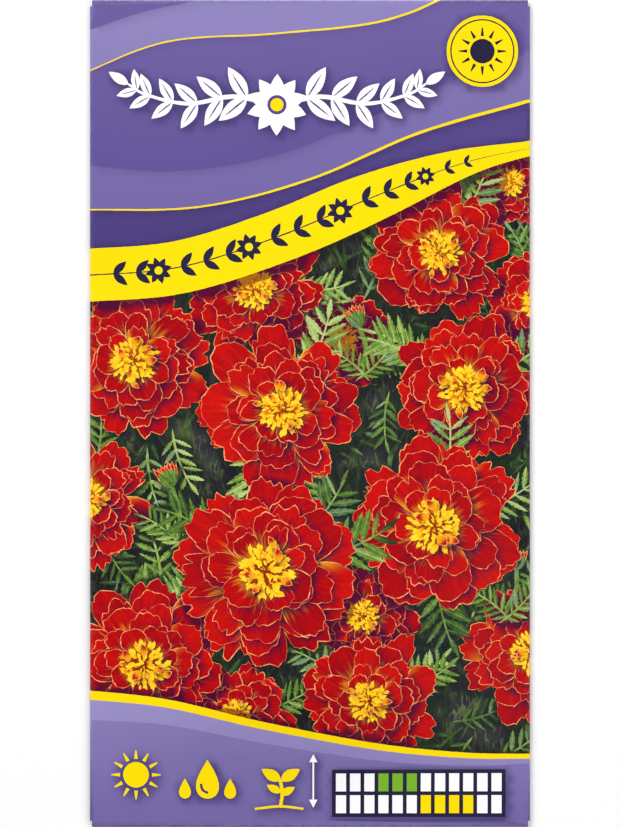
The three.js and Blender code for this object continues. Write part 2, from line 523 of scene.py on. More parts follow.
def away(place: Point, turn: float, out: float) -> Point:
    """The point at a distance from a place, in a given direction."""
    return (place[0] + out * math.cos(turn), place[1] + out * math.sin(turn))


def along_path(path: Array, share: float) -> Point:
    """The point of a path at a share of its points."""
    shares = np.linspace(0, 1, len(path))
    return tuple(float(np.interp(share, shares, path[:, axis])) for axis in (0, 1))


def leaf_outline(length: float, width: float, teeth: int = 0, steps: int = 9) -> Outline:
    """A leaf that starts at the origin and points along +u.

    Args:
        length: From its foot to its tip.
        width: Across its widest place.
        teeth: How many teeth each edge has.
        steps: How many points each edge has, where it has no teeth.

    Returns:
        The leaf's outline, counter-clockwise.
    """
    count = 2 * teeth + 1 if teeth else steps
    along = np.linspace(0, 1, count + 1)
    half = 0.5 * width * np.sin(math.pi * along**0.85) ** 0.9
    if teeth:
        half = half * np.where(np.arange(count + 1) % 2 == 0, 0.78, 1.08)
        along = np.clip(along + np.where(np.arange(count + 1) % 2 == 0, 0.0, 0.25 / count), 0, 1)
    half[0] = 0.03 * width
    half[-1] = 0.0
    lower = np.stack([along * length, -half], axis=1)
    upper = np.stack([along[:-1] * length, half[:-1]], axis=1)[::-1]
    return np.vstack([lower, upper])


@dataclass
class Artwork:
    """The patches of the print, in the order in which they are laid on the sheet."""

    folding: Folding
    patches: list[Patch] = field(default_factory=list)

    @property
    def edge(self) -> float:
        """How far from the middle the front's print runs, a little way round the side folds."""
        return self.folding.front_x + self.folding.side_arc + 0.8

    def add(
        self, outline: Outline, ink: Ink, tone: float = 0.5, lift: float = HEAD_LIFT, spot: Spot = Spot()
    ) -> None:
        """Lays a patch on the sheet."""
        self.patches.append(Patch(counter_clockwise(outline), ink, tone, lift, spot))

    def add_petal(
        self, foot: Point, lean: float, length: float, width: float, tone: float, lift: float
    ) -> None:
        """Draws one small petal with a pale rim.

        Args:
            foot: Where it starts.
            lean: Which way it points.
            length: From its foot to its tip.
            width: Across its widest place.
            tone: The shade of its red.
            lift: How high it lies.
        """
        outline = turned(leaf_outline(length, width, steps=8), lean, foot)
        spot = Spot(foot, lean, length, width / 2)
        self.add(outline, Ink.RIM, 0.4, lift, spot)
        self.add(inset(outline, 0.16), Ink.PETAL, tone, lift, spot)

    def add_garland(
        self, path: Array, places: Sequence[float], size: float, lean: float, ink: Ink, slim: float = 0.42
    ) -> None:
        """Draws pairs of leaves along a stem.

        Args:
            path: The stem's middle line.
            places: Where the pairs stand, as shares of the stem's length.
            size: How long the leaves are.
            lean: How far they turn away from the stem.
            ink: What they are printed in.
            slim: How wide they are for their length.
        """
        leaf = leaf_outline(size, size * slim, steps=8)
        ahead = np.gradient(path, axis=0)
        turns = np.arctan2(ahead[:, 1], ahead[:, 0])
        for share in places:
            turn = float(np.interp(share, np.linspace(0, 1, len(path)), turns))
            for side in (-1, 1):
                self.add(turned(leaf, turn + side * lean, along_path(path, share)), ink, 0.1)

    def add_rosette(self, centre: Point, radius: float, leaves: int, ink: Ink) -> None:
        """Draws a ring of leaves round a middle.

        Args:
            centre: The middle.
            radius: From the middle to the leaves' tips.
            leaves: How many leaves it has.
            ink: What they are printed in.
        """
        leaf = leaf_outline(radius, radius * 0.5)
        for number in range(leaves):
            self.add(turned(leaf, TURN * number / leaves + 0.3, centre), ink)

    def add_sun(self, centre: Point, radius: float, ink: Ink, rays: int = 12) -> None:
        """Draws a sun: a disc with rays.

        Args:
            centre: Its middle.
            radius: From its middle to the rays' tips.
            ink: What it is printed in.
            rays: How many rays it has.
        """
        self.add(disc(centre, 0.52 * radius, 32), ink)
        ray = radius * np.array([(0.64, -0.075), (1, -0.02), (1, 0.02), (0.64, 0.075)])
        for number in range(rays):
            self.add(turned(ray, TURN * number / rays, centre), ink)


class BehindArtwork(Artwork):
    """The print on the packet's back, in the packet's own x and y. The front's print cuts it at the sides."""

    def wing(self, outline: Outline, side: int) -> Outline:
        """Moves an outline behind the packet to the flat sheet's wing on one side."""
        out = np.maximum(self.folding.back_reach - side * outline[:, 0], self.edge)
        return np.stack([side * out, outline[:, 1]], axis=1)

    def add(
        self, outline: Outline, ink: Ink, tone: float = 0.5, lift: float = 0.0, spot: Spot = Spot()
    ) -> None:
        """Lays a patch on both wings, where the sheet's own edge cuts it. No shadows fall on it."""
        for side in (-1, 1):
            super().add(self.wing(outline, side), ink, tone, 0.0, spot)


@dataclass(frozen=True)
class Motif:
    """A part of the print."""

    art: Artwork


@dataclass(frozen=True)
class Plant(Motif):
    """A part of the picture that grows by chance, in the same way each time that it starts from its seed."""

    seed: int

    @cached_property
    def random(self) -> np.random.Generator:
        """Its random numbers."""
        return np.random.default_rng(self.seed)

    def phase(self) -> float:
        """A random angle."""
        return self.random.uniform(0, 6.3)


@dataclass(frozen=True)
class Blossom(Plant):
    """A double blossom: rings of fan-shaped petals with pale rims round a heart of florets."""

    middle: Point
    radius: float
    level: float
    rings: tuple[tuple[float, int], ...] = ((1.0, 10), (0.9, 9), (0.76, 9), (0.61, 8), (0.47, 7))
    foot: float = 0.1
    overlap: float = 1.35
    rim: float = 0.125
    heart: float = 0.33
    heart_height: float = 2.2
    florets: int = 120
    specks: int = 6
    curls: int = 5

    def draw(self) -> None:
        """Draws the blossom from its outermost ring inwards."""
        for ring, (reach, count) in enumerate(self.rings):
            start = self.random.uniform(0, TURN)
            for place, number in enumerate(self.random.permutation(count)):
                turn = start + TURN * (number + self.random.uniform(-0.22, 0.22)) / count
                lift = self.level + ring + 0.6 * place / count
                self.draw_petal(turn, reach, math.pi / count * self.overlap, lift)
        self.draw_heart()

    def draw_petal(self, turn: float, reach: float, spread: float, lift: float) -> None:
        """Draws one petal: the pale rim, and the red inside it.

        Args:
            turn: Which way the petal points.
            reach: Its length as a share of the blossom's radius.
            spread: Half the angle that it covers.
            lift: How high it lies.
        """
        pick, waver = self.random.uniform, self.random.normal
        length = self.radius * reach * pick(0.86, 1.06)
        spread = spread * pick(0.75, 1.15)
        blunt = 2 / pick(2.1, 3.0)
        swing = np.linspace(0, math.pi, int(18 + 22 * reach))
        across = np.sign(np.cos(swing)) * np.abs(np.cos(swing)) ** blunt
        up = np.sin(swing) ** blunt
        edge = 1 + 0.05 * np.cos(2.2 * across + self.phase())
        for lobes, depth in ((self.random.integers(2, 6), pick(0.02, 0.17)), (pick(6, 10), 0.04)):
            ripple = np.abs(np.sin(math.pi * (lobes * (across + 1) / 2 + pick(0, 1)))) ** 0.6
            edge -= depth * (1 - ripple) * (1 - np.abs(across) ** 4)
        edge += waver(0, 0.011, len(edge))
        radii = length * (self.foot + (1 - self.foot) * up * edge)
        turns = turn + spread * (across + waver(0, 0.14) * up**2)
        fan = radii[:, None] * np.stack([np.cos(turns), np.sin(turns)], axis=1)
        outline = counter_clockwise(np.array(self.middle) + fan)
        spot = Spot(self.middle, turn, length, spread, round_middle=True)
        tone = pick(0, 1)
        self.art.add(outline, Ink.RIM, pick(0, 1), lift, spot)
        swell = 1 + 0.5 * np.sin(np.linspace(0, pick(12, 25), len(outline)) + self.phase())
        depth = self.rim * pick(0.65, 1.2) * swell * (0.45 + 0.55 * up)
        self.art.add(inset(outline, depth), Ink.PETAL, tone, lift, spot)

    def draw_heart(self) -> None:
        """Draws the florets from the outside inwards, and then dark specks and small curled petals."""
        pick = self.random.uniform
        golden = math.pi * (3 - math.sqrt(5))
        level = self.level + len(self.rings)
        top = level + self.heart_height
        size = self.radius * self.heart
        bed = disc(self.middle, 0.62 * size, 26)
        self.art.add(bed + self.random.normal(0, 0.05 * size, bed.shape), Ink.FLORET, 0.42, level)
        for number in range(self.florets, 0, -1):
            out = math.sqrt(number / self.florets)
            turn = number * golden + pick(-0.3, 0.3)
            place = away(self.middle, turn, size * (0.72 * out - 0.05) * pick(0.85, 1.1))
            lean = turn + pick(-0.8, 0.8)
            length = size * pick(0.18, 0.34) * (0.8 + 0.3 * out)
            floret = leaf_outline(length, length * pick(0.34, 0.6), teeth=2)
            tone = float(np.clip(0.68 - 0.08 * (1 - out) + self.random.normal(0, 0.2), 0, 1))
            lift = level + self.heart_height * (1 - out)
            spot = Spot(place, lean, length, length * 0.25)
            self.art.add(turned(floret, lean, place), Ink.FLORET, tone, lift, spot)
        speck = leaf_outline(size * 0.17, size * 0.06, steps=4)
        for _ in range(self.specks):
            place = away(self.middle, self.phase(), pick(0.04, 0.3) * size)
            self.art.add(turned(speck, self.phase(), place), Ink.FLORET, 0.0, top)
        for _ in range(self.curls):
            turn = self.phase()
            place = away(self.middle, turn, pick(0.25, 0.8) * size)
            length = size * pick(0.32, 0.5)
            lean, width = turn + pick(-1.2, 1.2), length * pick(0.5, 0.75)
            self.art.add_petal(place, lean, length, width, pick(0.2, 1), top + 0.2)


@dataclass(frozen=True)
class Frond(Plant):
    """A feathery leaf: pairs of toothed leaflets along a bent rib."""

    foot: Point
    turn: float
    length: float
    tone: float
    level: float
    pairs: int = 6
    bend: float = 0.5

    def draw(self) -> None:
        """Draws the leaf from its foot to its tip."""
        shares = np.linspace(0, 1, 9)
        turns = self.turn + self.bend * (shares - 0.3)
        steps = self.length / 8 * np.stack([np.cos(turns), np.sin(turns)], axis=1)
        path = np.array(self.foot) + np.vstack([np.zeros(2), np.cumsum(steps[:-1], axis=0)])
        for share in 0.16 + 0.76 * np.arange(self.pairs) / self.pairs:
            swell = math.sin(math.pi * (0.2 + 0.62 * share))
            size = self.length * 0.36 * swell * self.random.uniform(0.85, 1.1)
            heading = float(np.interp(share, shares, turns))
            for side in (-1, 1):
                lean = heading + side * self.random.uniform(0.75, 1.0)
                self.draw_leaflet(along_path(path, share), lean, size)
        self.draw_leaflet(tuple(path[-2].tolist()), float(turns[-1]), self.length * 0.26)
        widths = np.interp(shares, (0, 0.13, 1), (0.08, 0.52, 0.2)) * (0.6 + 0.03 * self.length)
        spot = Spot(self.foot, self.turn, self.length, 0.4)
        self.art.add(ribbon(path, widths), Ink.LEAF, min(1.0, self.tone + 0.22), self.level + 0.3, spot)

    def draw_leaflet(self, foot: Point, lean: float, length: float) -> None:
        """Draws one leaflet.

        Args:
            foot: Where it starts.
            lean: Which way it points.
            length: From its foot to its tip.
        """
        width = length * self.random.uniform(0.17, 0.3)
        outline = turned(leaf_outline(length, width, teeth=5), lean, foot)
        tone = float(np.clip(self.tone + self.random.normal(0, 0.09), 0, 1))
        lift = self.level + self.random.uniform(0, 0.3)
        self.art.add(outline, Ink.LEAF, tone, lift, Spot(foot, lean, length, width / 2))


@dataclass(frozen=True)
class Bud(Plant):
    """A closed bud on its stem: a ribbed green cup with a tuft of red at its mouth."""

    foot: Point
    tip: Point
    size: float
    level: float

    def draw(self) -> None:
        """Draws the stem, the petals' tips, the cup, and leaves over the stem's foot."""
        (foot_x, foot_y), (tip_x, tip_y) = self.foot, self.tip
        sway = ((foot_x + tip_x) / 2 + 0.9, (foot_y + tip_y) / 2)
        path = smooth_path([self.foot, sway, self.tip], 6)
        lean = math.atan2(tip_y - sway[1], tip_x - sway[0])
        stem = ribbon(path, np.linspace(0.7, 0.85, len(path)))
        spot = Spot(self.foot, lean, math.dist(self.foot, self.tip), 0.5)
        self.art.add(stem, Ink.LEAF, 0.66, self.level, spot)
        for number in range(-3, 4):
            turn, length = lean + number * 0.16, self.size * self.random.uniform(1.25, 1.5)
            tone = self.random.uniform(0, 1)
            self.art.add_petal(self.tip, turn, length, self.size * 0.42, tone, self.level + 0.2)
        for number in range(-2, 3):
            turn = lean + number * 0.24
            sepal = turned(leaf_outline(self.size * 1.06, self.size * 0.46, steps=8), turn, self.tip)
            spot = Spot(self.tip, turn, self.size, self.size * 0.23)
            self.art.add(sepal, Ink.LEAF, 0.5 + 0.12 * (number % 2), self.level + 0.4, spot)
        for side in (-1, 1):
            foot, turn = (foot_x - 1.2 * side, foot_y - 2.5), math.pi / 2 - 0.85 * side
            Frond(self.art, self.seed + 40 * side, foot, turn, 10.0, 0.6, self.level + 0.6).draw()


@dataclass(frozen=True)
class Picture(Plant):
    """The picture of the flowers, over the whole front: dark ground, fronds, blossoms and buds."""

    low: float = -76.0
    high: float = 76.0
    blades: int = 150
    blades_over: tuple[float, float] = (-66.0, 44.0)
    far_fronds: int = 54
    near_fronds: int = 44
    fronds_over: tuple[float, float] = (-64.0, 40.0)
    blossoms: tuple[tuple[float, float, float, float], ...] = (
        (9.5, -36.5, 10.5, 12), (-13.5, -55.0, 11.0, 13), (6.0, 13.5, 9.5, 14), (36.5, 42.0, 9.0, 15),
        (41.5, 20.0, 11.0, 20), (-40.5, -15.5, 12.5, 24), (-10.0, 22.5, 13.0, 28),
        (10.5, -52.0, 13.5, 32), (23.5, 29.5, 13.5, 36), (40.0, -43.5, 13.0, 40), (-32.0, 9.5, 15.0, 44),
        (-30.0, -45.5, 15.5, 48), (28.0, 4.5, 15.0, 52), (-5.0, 0.5, 15.5, 56), (22.5, -20.5, 17.0, 60),
        (-8.0, -28.5, 18.0, 64),
    )
    buds: tuple[tuple[Point, Point, float, float], ...] = (
        ((9.5, 8.5), (9.0, 15.5), 3.2, 48), ((-24.0, -22.0), (-25.0, -13.5), 3.4, 56),
        ((35.5, -35.5), (37.5, -28.5), 3.0, 56),
    )

    def draw(self) -> None:
        """Draws the picture from its ground up, each bud after the last blossom that lies lower."""
        pick, edge = self.random.uniform, self.art.edge
        self.art.add(box_outline(-edge, self.low, edge, self.high), Ink.GROUND, lift=0.0)
        self.draw_blades()
        self.draw_fronds(self.far_fronds, (0.0, 0.3), 2.0)
        self.draw_fronds(self.near_fronds, (0.28, 0.7), 8.0)
        next_levels = [level for *_, level in self.blossoms[1:]] + [math.inf]
        for number, (x, y, radius, level) in enumerate(self.blossoms):
            for frond in range(3):
                turn = pick(0, TURN)
                foot, length = away((x, y), turn, 0.35 * radius), radius * pick(0.8, 1.05)
                seed, tone = 300 + 7 * number + frond, pick(0.35, 0.84)
                Frond(self.art, seed, foot, turn, length, tone, level - 3).draw()
            Blossom(self.art, 36 + number, (x, y), radius, level).draw()
            for bud_number, (foot, tip, size, bud_level) in enumerate(self.buds):
                if level <= bud_level < next_levels[number]:
                    Bud(self.art, 90 + bud_number, foot, tip, size, bud_level).draw()

    def draw_blades(self) -> None:
        """Draws thin stems and blades deep in the picture."""
        pick, waver, edge = self.random.uniform, self.random.normal, self.art.edge
        for _ in range(self.blades):
            foot = (pick(-edge, edge), pick(*self.blades_over))
            turn, length = waver(math.pi / 2, 0.6), pick(8, 20)
            ahead = np.array((math.cos(turn), math.sin(turn)))
            aside = np.array((-ahead[1], ahead[0])) * waver(0, 1.5)
            path = smooth_path([foot, foot + ahead * length / 2 + aside, foot + ahead * length], 3)
            widths = pick(0.3, 0.9) * np.sin(math.pi * np.linspace(0.04, 1, len(path))) ** 0.7
            self.art.add(ribbon(path, widths), Ink.LEAF, pick(0.02, 0.5), 1.0, Spot(foot, turn, length, 0.4))

    def draw_fronds(self, count: int, tones: tuple[float, float], level: float) -> None:
        """Scatters fronds over the picture.

        Args:
            count: How many.
            tones: The darkest and the lightest.
            level: How high they lie.
        """
        pick, edge = self.random.uniform, self.art.edge
        for number in range(count):
            foot = (pick(-edge, edge), pick(*self.fronds_over))
            turn, tone, length = pick(0, TURN), pick(*tones), pick(9, 17)
            Frond(self.art, 600 + number, foot, turn, length, tone, level, pairs=5).draw()


@dataclass(frozen=True)
class Header(Motif):
    """The violet head of the front: graded waves, a sprig, a roundel, and a yellow band with a garland."""

    reach: float = 42.0
    top: float = 100.0
    wave: tuple[Point, ...] = ((-42, 25), (-24, 26.5), (-6, 32), (12, 39.5), (28, 45.5), (42, 48.6))
    steps: tuple[tuple[tuple[Point, ...], float, float], ...] = (
        (((-42, 37), (-20, 37.5), (0, 42.5), (20, 51), (42, 57.4)), 0.62, 0.5),
        (((-42, 45.2), (-24, 44), (-4, 47.5), (18, 57), (42, 67)), 0.34, 0.0),
        (((-42, 61.5), (-26, 67.5), (-6, 69), (14, 71.5), (28, 78), (42, 90)), 0.72, 0.4),
        (((-42, 69), (-30, 73), (-16, 76.5), (4, 86), (42, 98)), 0.3, 0.0),
    )
    band_width: float = 9.6
    sprig: Point = (-6.0, 56.0)
    roundel: Point = (31.3, 65.8)
    roundel_radius: float = 6.5

    @cached_property
    def edge(self) -> Array:
        """The head's lower edge, from left to right."""
        return smooth_path(self.wave, 10)

    def draw(self) -> None:
        """Draws the head's fields and then what stands on them."""
        self.draw_fields()
        self.draw_band()
        self.draw_sprig()
        for smaller, ink in ((0.0, Ink.YELLOW), (0.65, Ink.NAVY), (0.9, Ink.YELLOW)):
            self.art.add(disc(self.roundel, self.roundel_radius - smaller, 48), ink, lift=HEAD_LIFT + 1)
        self.art.add_sun(self.roundel, 0.66 * self.roundel_radius, Ink.NAVY)

    def draw_fields(self) -> None:
        """Draws the violet fields, lighter and darker over one another, with thin yellow lines."""
        corners = [(self.reach, self.top), (-self.reach, self.top)]
        spot = Spot((0, 24), math.pi / 2, 52, 40)
        self.art.add(np.vstack([self.edge, corners]), Ink.VIOLET, 0.16, HEAD_LIFT - 4, spot)
        for number, (points, tone, line) in enumerate(self.steps):
            path = smooth_path(points, 10)
            lift = HEAD_LIFT - 3 + 0.4 * number
            self.art.add(np.vstack([path, corners]), Ink.VIOLET, tone, lift, spot)
            if line:
                self.art.add(ribbon(path, line * np.linspace(0.5, 1.2, len(path))), Ink.YELLOW, lift=lift)

    def draw_band(self) -> None:
        """Draws the yellow band along the head's lower edge, and the dark garland on it."""
        edge, shares = self.edge, np.linspace(0, 1, len(self.edge))
        sizes = 1 - 0.72 * smoothstep(shares, 0.5, 1.0)
        self.art.add(ribbon(edge, self.band_width * sizes), Ink.YELLOW)
        self.art.add(ribbon(edge, 0.22 * sizes), Ink.NAVY)
        for number, share in enumerate(np.linspace(0.07, 0.8, 17)):
            size = float(np.interp(share, shares, sizes))
            if number % 4 == 2:
                place = along_path(edge, share)
                self.art.add_rosette(place, 2.5 * size, 8, Ink.NAVY)
                self.art.add(disc(place, 0.75 * size, 14), Ink.YELLOW)
            else:
                self.art.add_garland(edge, [share], 3.3 * size, 0.72, Ink.NAVY)

    def draw_sprig(self) -> None:
        """Draws the white sprig: leaves in pairs along two stems that part from a rosette."""
        for side in (-1, 1):
            points = [(0, 0), (side * 8, 1.5), (side * 16, 0.2), (side * 23.5, 1.8), (side * 27, 3.8)]
            path = smooth_path(points, 6) + np.array(self.sprig)
            for number in range(6):
                place, size = 0.17 + 0.14 * number, 6.6 - 0.55 * number
                self.art.add_garland(path, [place], size, 0.85, Ink.WHITE)
                self.art.add_garland(path, [place], size * 0.8, 0.85, Ink.VIOLET, slim=0.06)
            self.art.add_garland(path, [1.0], 4.2, 0.0, Ink.WHITE)
            self.art.add(ribbon(path, np.linspace(1.0, 0.4, len(path))), Ink.WHITE)
        self.art.add_rosette(self.sprig, 5.6, 10, Ink.WHITE)
        for radius, ink in ((1.75, Ink.VIOLET), (1.2, Ink.YELLOW)):
            self.art.add(disc(self.sprig, radius), ink, 0.2)


@dataclass(frozen=True)
class Footer(Motif):
    """The violet foot of the front: a yellow line, three pictograms and a sowing calendar of plain cells."""

    reach: float = 42.0
    bottom: float = -100.0
    wave: tuple[Point, ...] = ((-42, -51), (-26, -52.5), (-8, -56.5), (12, -60.3), (28, -62), (42, -62.3))
    line: float = 1.25
    sun: Point = (-31.6, -65.6)
    drops: Point = (-18.6, -66.6)
    sprout: Point = (-5.4, -71.6)
    arrow: Point = (0.6, -71.4)
    calendar: tuple[float, float, float, float] = (4.0, -73.3, 35.5, -64.6)

    def draw(self) -> None:
        """Draws the foot's field and what stands on it."""
        edge = smooth_path(self.wave, 10)
        spot = Spot((0, -76), math.pi / 2, 24, 40)
        corners = [(self.reach, self.bottom), (-self.reach, self.bottom)]
        lower = edge - np.array((0, 1)) * np.linspace(4.6, 1.2, len(edge))[:, None]
        lift = HEAD_LIFT - 3
        for path, tone in ((edge, 0.88), (lower, 0.68)):
            self.art.add(np.vstack([path, corners]), Ink.VIOLET, tone, lift, spot)
        self.art.add(ribbon(edge, self.line * np.linspace(1.35, 0.7, len(edge))), Ink.YELLOW, lift=lift)
        self.art.add_sun(self.sun, 4.5, Ink.YELLOW)
        self.draw_drops()
        self.draw_sprout()
        self.draw_calendar()

    def draw_drops(self) -> None:
        """Draws one large drop of water between two small ones."""
        x, y = self.drops
        swing = np.linspace(0, TURN, 26, endpoint=False)
        drop = np.stack([np.sin(swing) * np.sin(swing / 2) ** 1.3, np.cos(swing) * 1.25 + 0.1], axis=1)
        for dx, dy, size in ((0, 0, 2.9), (-4.1, -1.6, 1.5), (4.1, -1.6, 1.5)):
            self.art.add(turned(drop, 0, (x + dx, y + dy), size), Ink.YELLOW)
        shine = ribbon(smooth_path([(-1.2, -0.6), (-0.9, -1.7), (0.1, -2.3)], 5), 0.45)
        self.art.add(turned(shine, 0, self.drops), Ink.VIOLET, 0.2)

    def draw_sprout(self) -> None:
        """Draws a sprout on a line of soil, and beside it an arrow up and down for its height."""
        (x, y), (beside, low) = self.sprout, self.arrow
        stem = smooth_path([(0, 0), (0.35, 2.6), (0.0, 5.2)], 6) + np.array(self.sprout)
        self.art.add(ribbon(stem, 0.62), Ink.YELLOW)
        for lean, rise, size in ((0.55, 5.0, 4.1), (2.59, 5.0, 4.1), (0.5, 2.4, 2.9), (2.64, 2.8, 2.9)):
            leaf = leaf_outline(size, size * 0.5, steps=10)
            self.art.add(turned(leaf, lean, (x + 0.1, y + rise)), Ink.YELLOW)
        soil = smooth_path([(-4.6, -0.2), (0, 0.25), (4.2, -0.2)], 6) + np.array(self.sprout)
        self.art.add(ribbon(soil, 0.42), Ink.YELLOW)
        self.art.add(box_outline(beside - 0.15, low + 0.5, beside + 0.15, low + 9), Ink.WHITE)
        head = np.array([(-0.75, 0), (0.75, 0), (0, 1.5)])
        for turn, rise in ((0.0, 8.2), (math.pi, 1.3)):
            self.art.add(turned(head, turn, (beside, low + rise)), Ink.WHITE)

    def draw_calendar(self) -> None:
        """Draws the calendar: twelve cells, those for sowing green and those for flowering yellow."""
        left, low, right, high = self.calendar
        self.art.add(box_outline(left, low, right, high), Ink.NAVY)
        gap = 0.7
        width = (right - left - gap) / 12 - gap
        half = (high - low - 3 * gap) / 2
        rows = ((high - gap - half, (3, 4, 5), Ink.GREEN), (low + gap, (6, 7, 8, 9), Ink.YELLOW))
        for month in range(12):
            x = left + gap + month * (width + gap)
            for bottom, months, ink in rows:
                shown = ink if month in months else Ink.WHITE
                self.art.add(box_outline(x, bottom, x + width, bottom + half), shown)


@dataclass(frozen=True)
class BackPrint(Motif):
    """The packet's back: a pale field between a violet head and foot, a calendar and lines to write on."""

    reach: float = 60.0
    far: float = 90.0
    head: tuple[Point, ...] = ((-60, 39), (-39, 40.5), (-14, 45), (12, 43), (39, 38.5), (60, 37))
    foot: tuple[Point, ...] = ((-60, -41), (-39, -42.5), (-12, -47.5), (14, -46), (39, -41), (60, -40))
    head_stem: float = 49.5
    foot_stem: float = -53.5
    flap_line: float = 2.2
    calendar: Point = (-23.0, 12.0)
    month: float = 4.9
    row: float = 7.4
    lines: int = 7
    lines_from: float = 4.5
    line_step: float = 6.2

    @cached_property
    def behind(self) -> BehindArtwork:
        """The print behind the packet."""
        return BehindArtwork(self.art.folding, self.art.patches)

    def draw(self) -> None:
        """Draws the back, over the ends of the front's print, and a line on each flap."""
        behind = self.behind
        behind.add(box_outline(-self.reach, -self.far, self.reach, self.far), Ink.LILAC)
        for points, side, rise in ((self.head, 1, self.head_stem), (self.foot, -1, self.foot_stem)):
            path, far = smooth_path(points, 8), side * self.far
            behind.add(np.vstack([path, [(self.reach, far), (-self.reach, far)]]), Ink.VIOLET, 0.75)
            behind.add(ribbon(path, 0.9), Ink.YELLOW)
            stem = smooth_path([(-36, rise), (-12, rise + 1.2), (12, rise - 1), (36, rise)], 8)
            behind.add(ribbon(stem, 0.4), Ink.WHITE)
            behind.add_garland(stem, np.linspace(0.05, 0.95, 13), 3.8, 0.7, Ink.WHITE)
        self.draw_calendar()
        for number in range(self.lines):
            y = self.lines_from - self.line_step * number
            behind.add(box_outline(-33, y, 35, y + 0.25), Ink.VIOLET, 0.25)
        ends = self.art.folding.outline()[:, 1]
        for v in (ends.min() + self.flap_line, ends.max() - self.flap_line):
            self.art.add(box_outline(-self.reach, v - 0.25, self.reach, v + 0.25), Ink.YELLOW, lift=0.0)

    def draw_calendar(self) -> None:
        """Draws a calendar of twelve months, with rows for sowing, watering and flowering."""
        behind, (left, low) = self.behind, self.calendar
        badge = left - 6.0
        rows = ((6, 10, Ink.YELLOW), (3, 9, Ink.NAVY), (2, 5, Ink.GREEN))
        for number, (first, last, ink) in enumerate(rows):
            y = low + number * self.row
            for month in range(12):
                x = left + month * self.month
                behind.add(box_outline(x, y, x + self.month - 0.5, y + self.row - 1.5), Ink.WHITE)
            start, stop = left + first * self.month, left + last * self.month - 0.5
            behind.add(box_outline(start, y + 1.6, stop, y + self.row - 3.1), ink)
            behind.add(disc((badge, y + 2.9), 2.9, 28), Ink.VIOLET, 0.6)
        behind.add_sun((badge, low + 2.9), 2.4, Ink.WHITE)
        behind.add(turned(leaf_outline(4.4, 2.6), math.pi / 2, (badge, low + self.row + 0.7)), Ink.WHITE)
        behind.add_rosette((badge, low + 2 * self.row + 2.9), 2.4, 8, Ink.WHITE)


# The printed sheet ----------------------------------------


@dataclass
class CutSheet:
    """The flat sheet, cut into triangles that each show one patch."""

    points: Array
    triangles: Array
    owners: Array


def triangulate(points: Array, edges: Array) -> tuple[Array, Array, list[list[int]]]:
    """Cuts the plane into triangles along given edges."""
    result = delaunay_2d_cdt([Vector(point) for point in points.tolist()], edges.tolist(), [], 0, 1e-5, True)
    return np.array([(v.x, v.y) for v in result[0]]), np.array(result[2], dtype=int), result[3]


def ring_edges(numbers: Array) -> Array:
    """The edges of a closed ring of points."""
    return np.stack([numbers, np.roll(numbers, -1)], axis=1)


def triangle_edges(triangles: Array) -> Array:
    """The edges of the triangles: all the first ones, then the second ones, then the third ones."""
    return np.vstack([triangles[:, [0, 1]], triangles[:, [1, 2]], triangles[:, [2, 0]]])


def inside(outline: Outline, points: Array) -> Array:
    """Tells which points lie inside an outline.

    Args:
        outline: A closed outline.
        points: The points, one row each.

    Returns:
        True for each point inside.
    """
    x, y = points[:, :1], points[:, 1:]
    start, stop = outline, np.roll(outline, -1, axis=0)
    level = start[:, 1] == stop[:, 1]
    start, stop = start[~level], stop[~level]
    crosses = (start[:, 1] > y) != (stop[:, 1] > y)
    slope = (stop[:, 0] - start[:, 0]) / (stop[:, 1] - start[:, 1])
    return np.sum(crosses & (x < start[:, 0] + (y - start[:, 1]) * slope), axis=1) % 2 == 1


def uppermost(points: Array, patches: Sequence[Patch]) -> Array:
    """Finds the patch that shows at each point.

    Args:
        points: The points, one row each.
        patches: The patches, lowest first. Nothing shows outside the first.

    Returns:
        The number of the patch at each point, or -1 outside the first.
    """
    order = np.argsort(points[:, 0])
    across = points[order, 0]
    found = np.full(len(points), -1)
    for number, patch in enumerate(patches):
        low, high = patch.outline.min(axis=0), patch.outline.max(axis=0)
        first, last = np.searchsorted(across, (low[0], high[0]))
        near = order[first:last]
        near = near[(points[near, 1] > low[1]) & (points[near, 1] < high[1])]
        found[near[inside(patch.outline, points[near])]] = number
    found[~inside(patches[0].outline, points)] = -1
    return found


def staggered_grid(low: Point, high: Point, pitch: float) -> Array:
    """A grid of points in staggered rows.

    Args:
        low: Its lower left corner.
        high: Its upper right corner.
        pitch: The distance between neighbours.

    Returns:
        The points.
    """
    rows = []
    for number, y in enumerate(np.arange(low[1] + pitch / 2, high[1], pitch * 0.866)):
        x = np.arange(low[0] + pitch * (0.3 + 0.5 * (number % 2)), high[0] - pitch * 0.2, pitch)
        rows.append(np.stack([x, np.full_like(x, y)], axis=1))
    return np.vstack(rows)


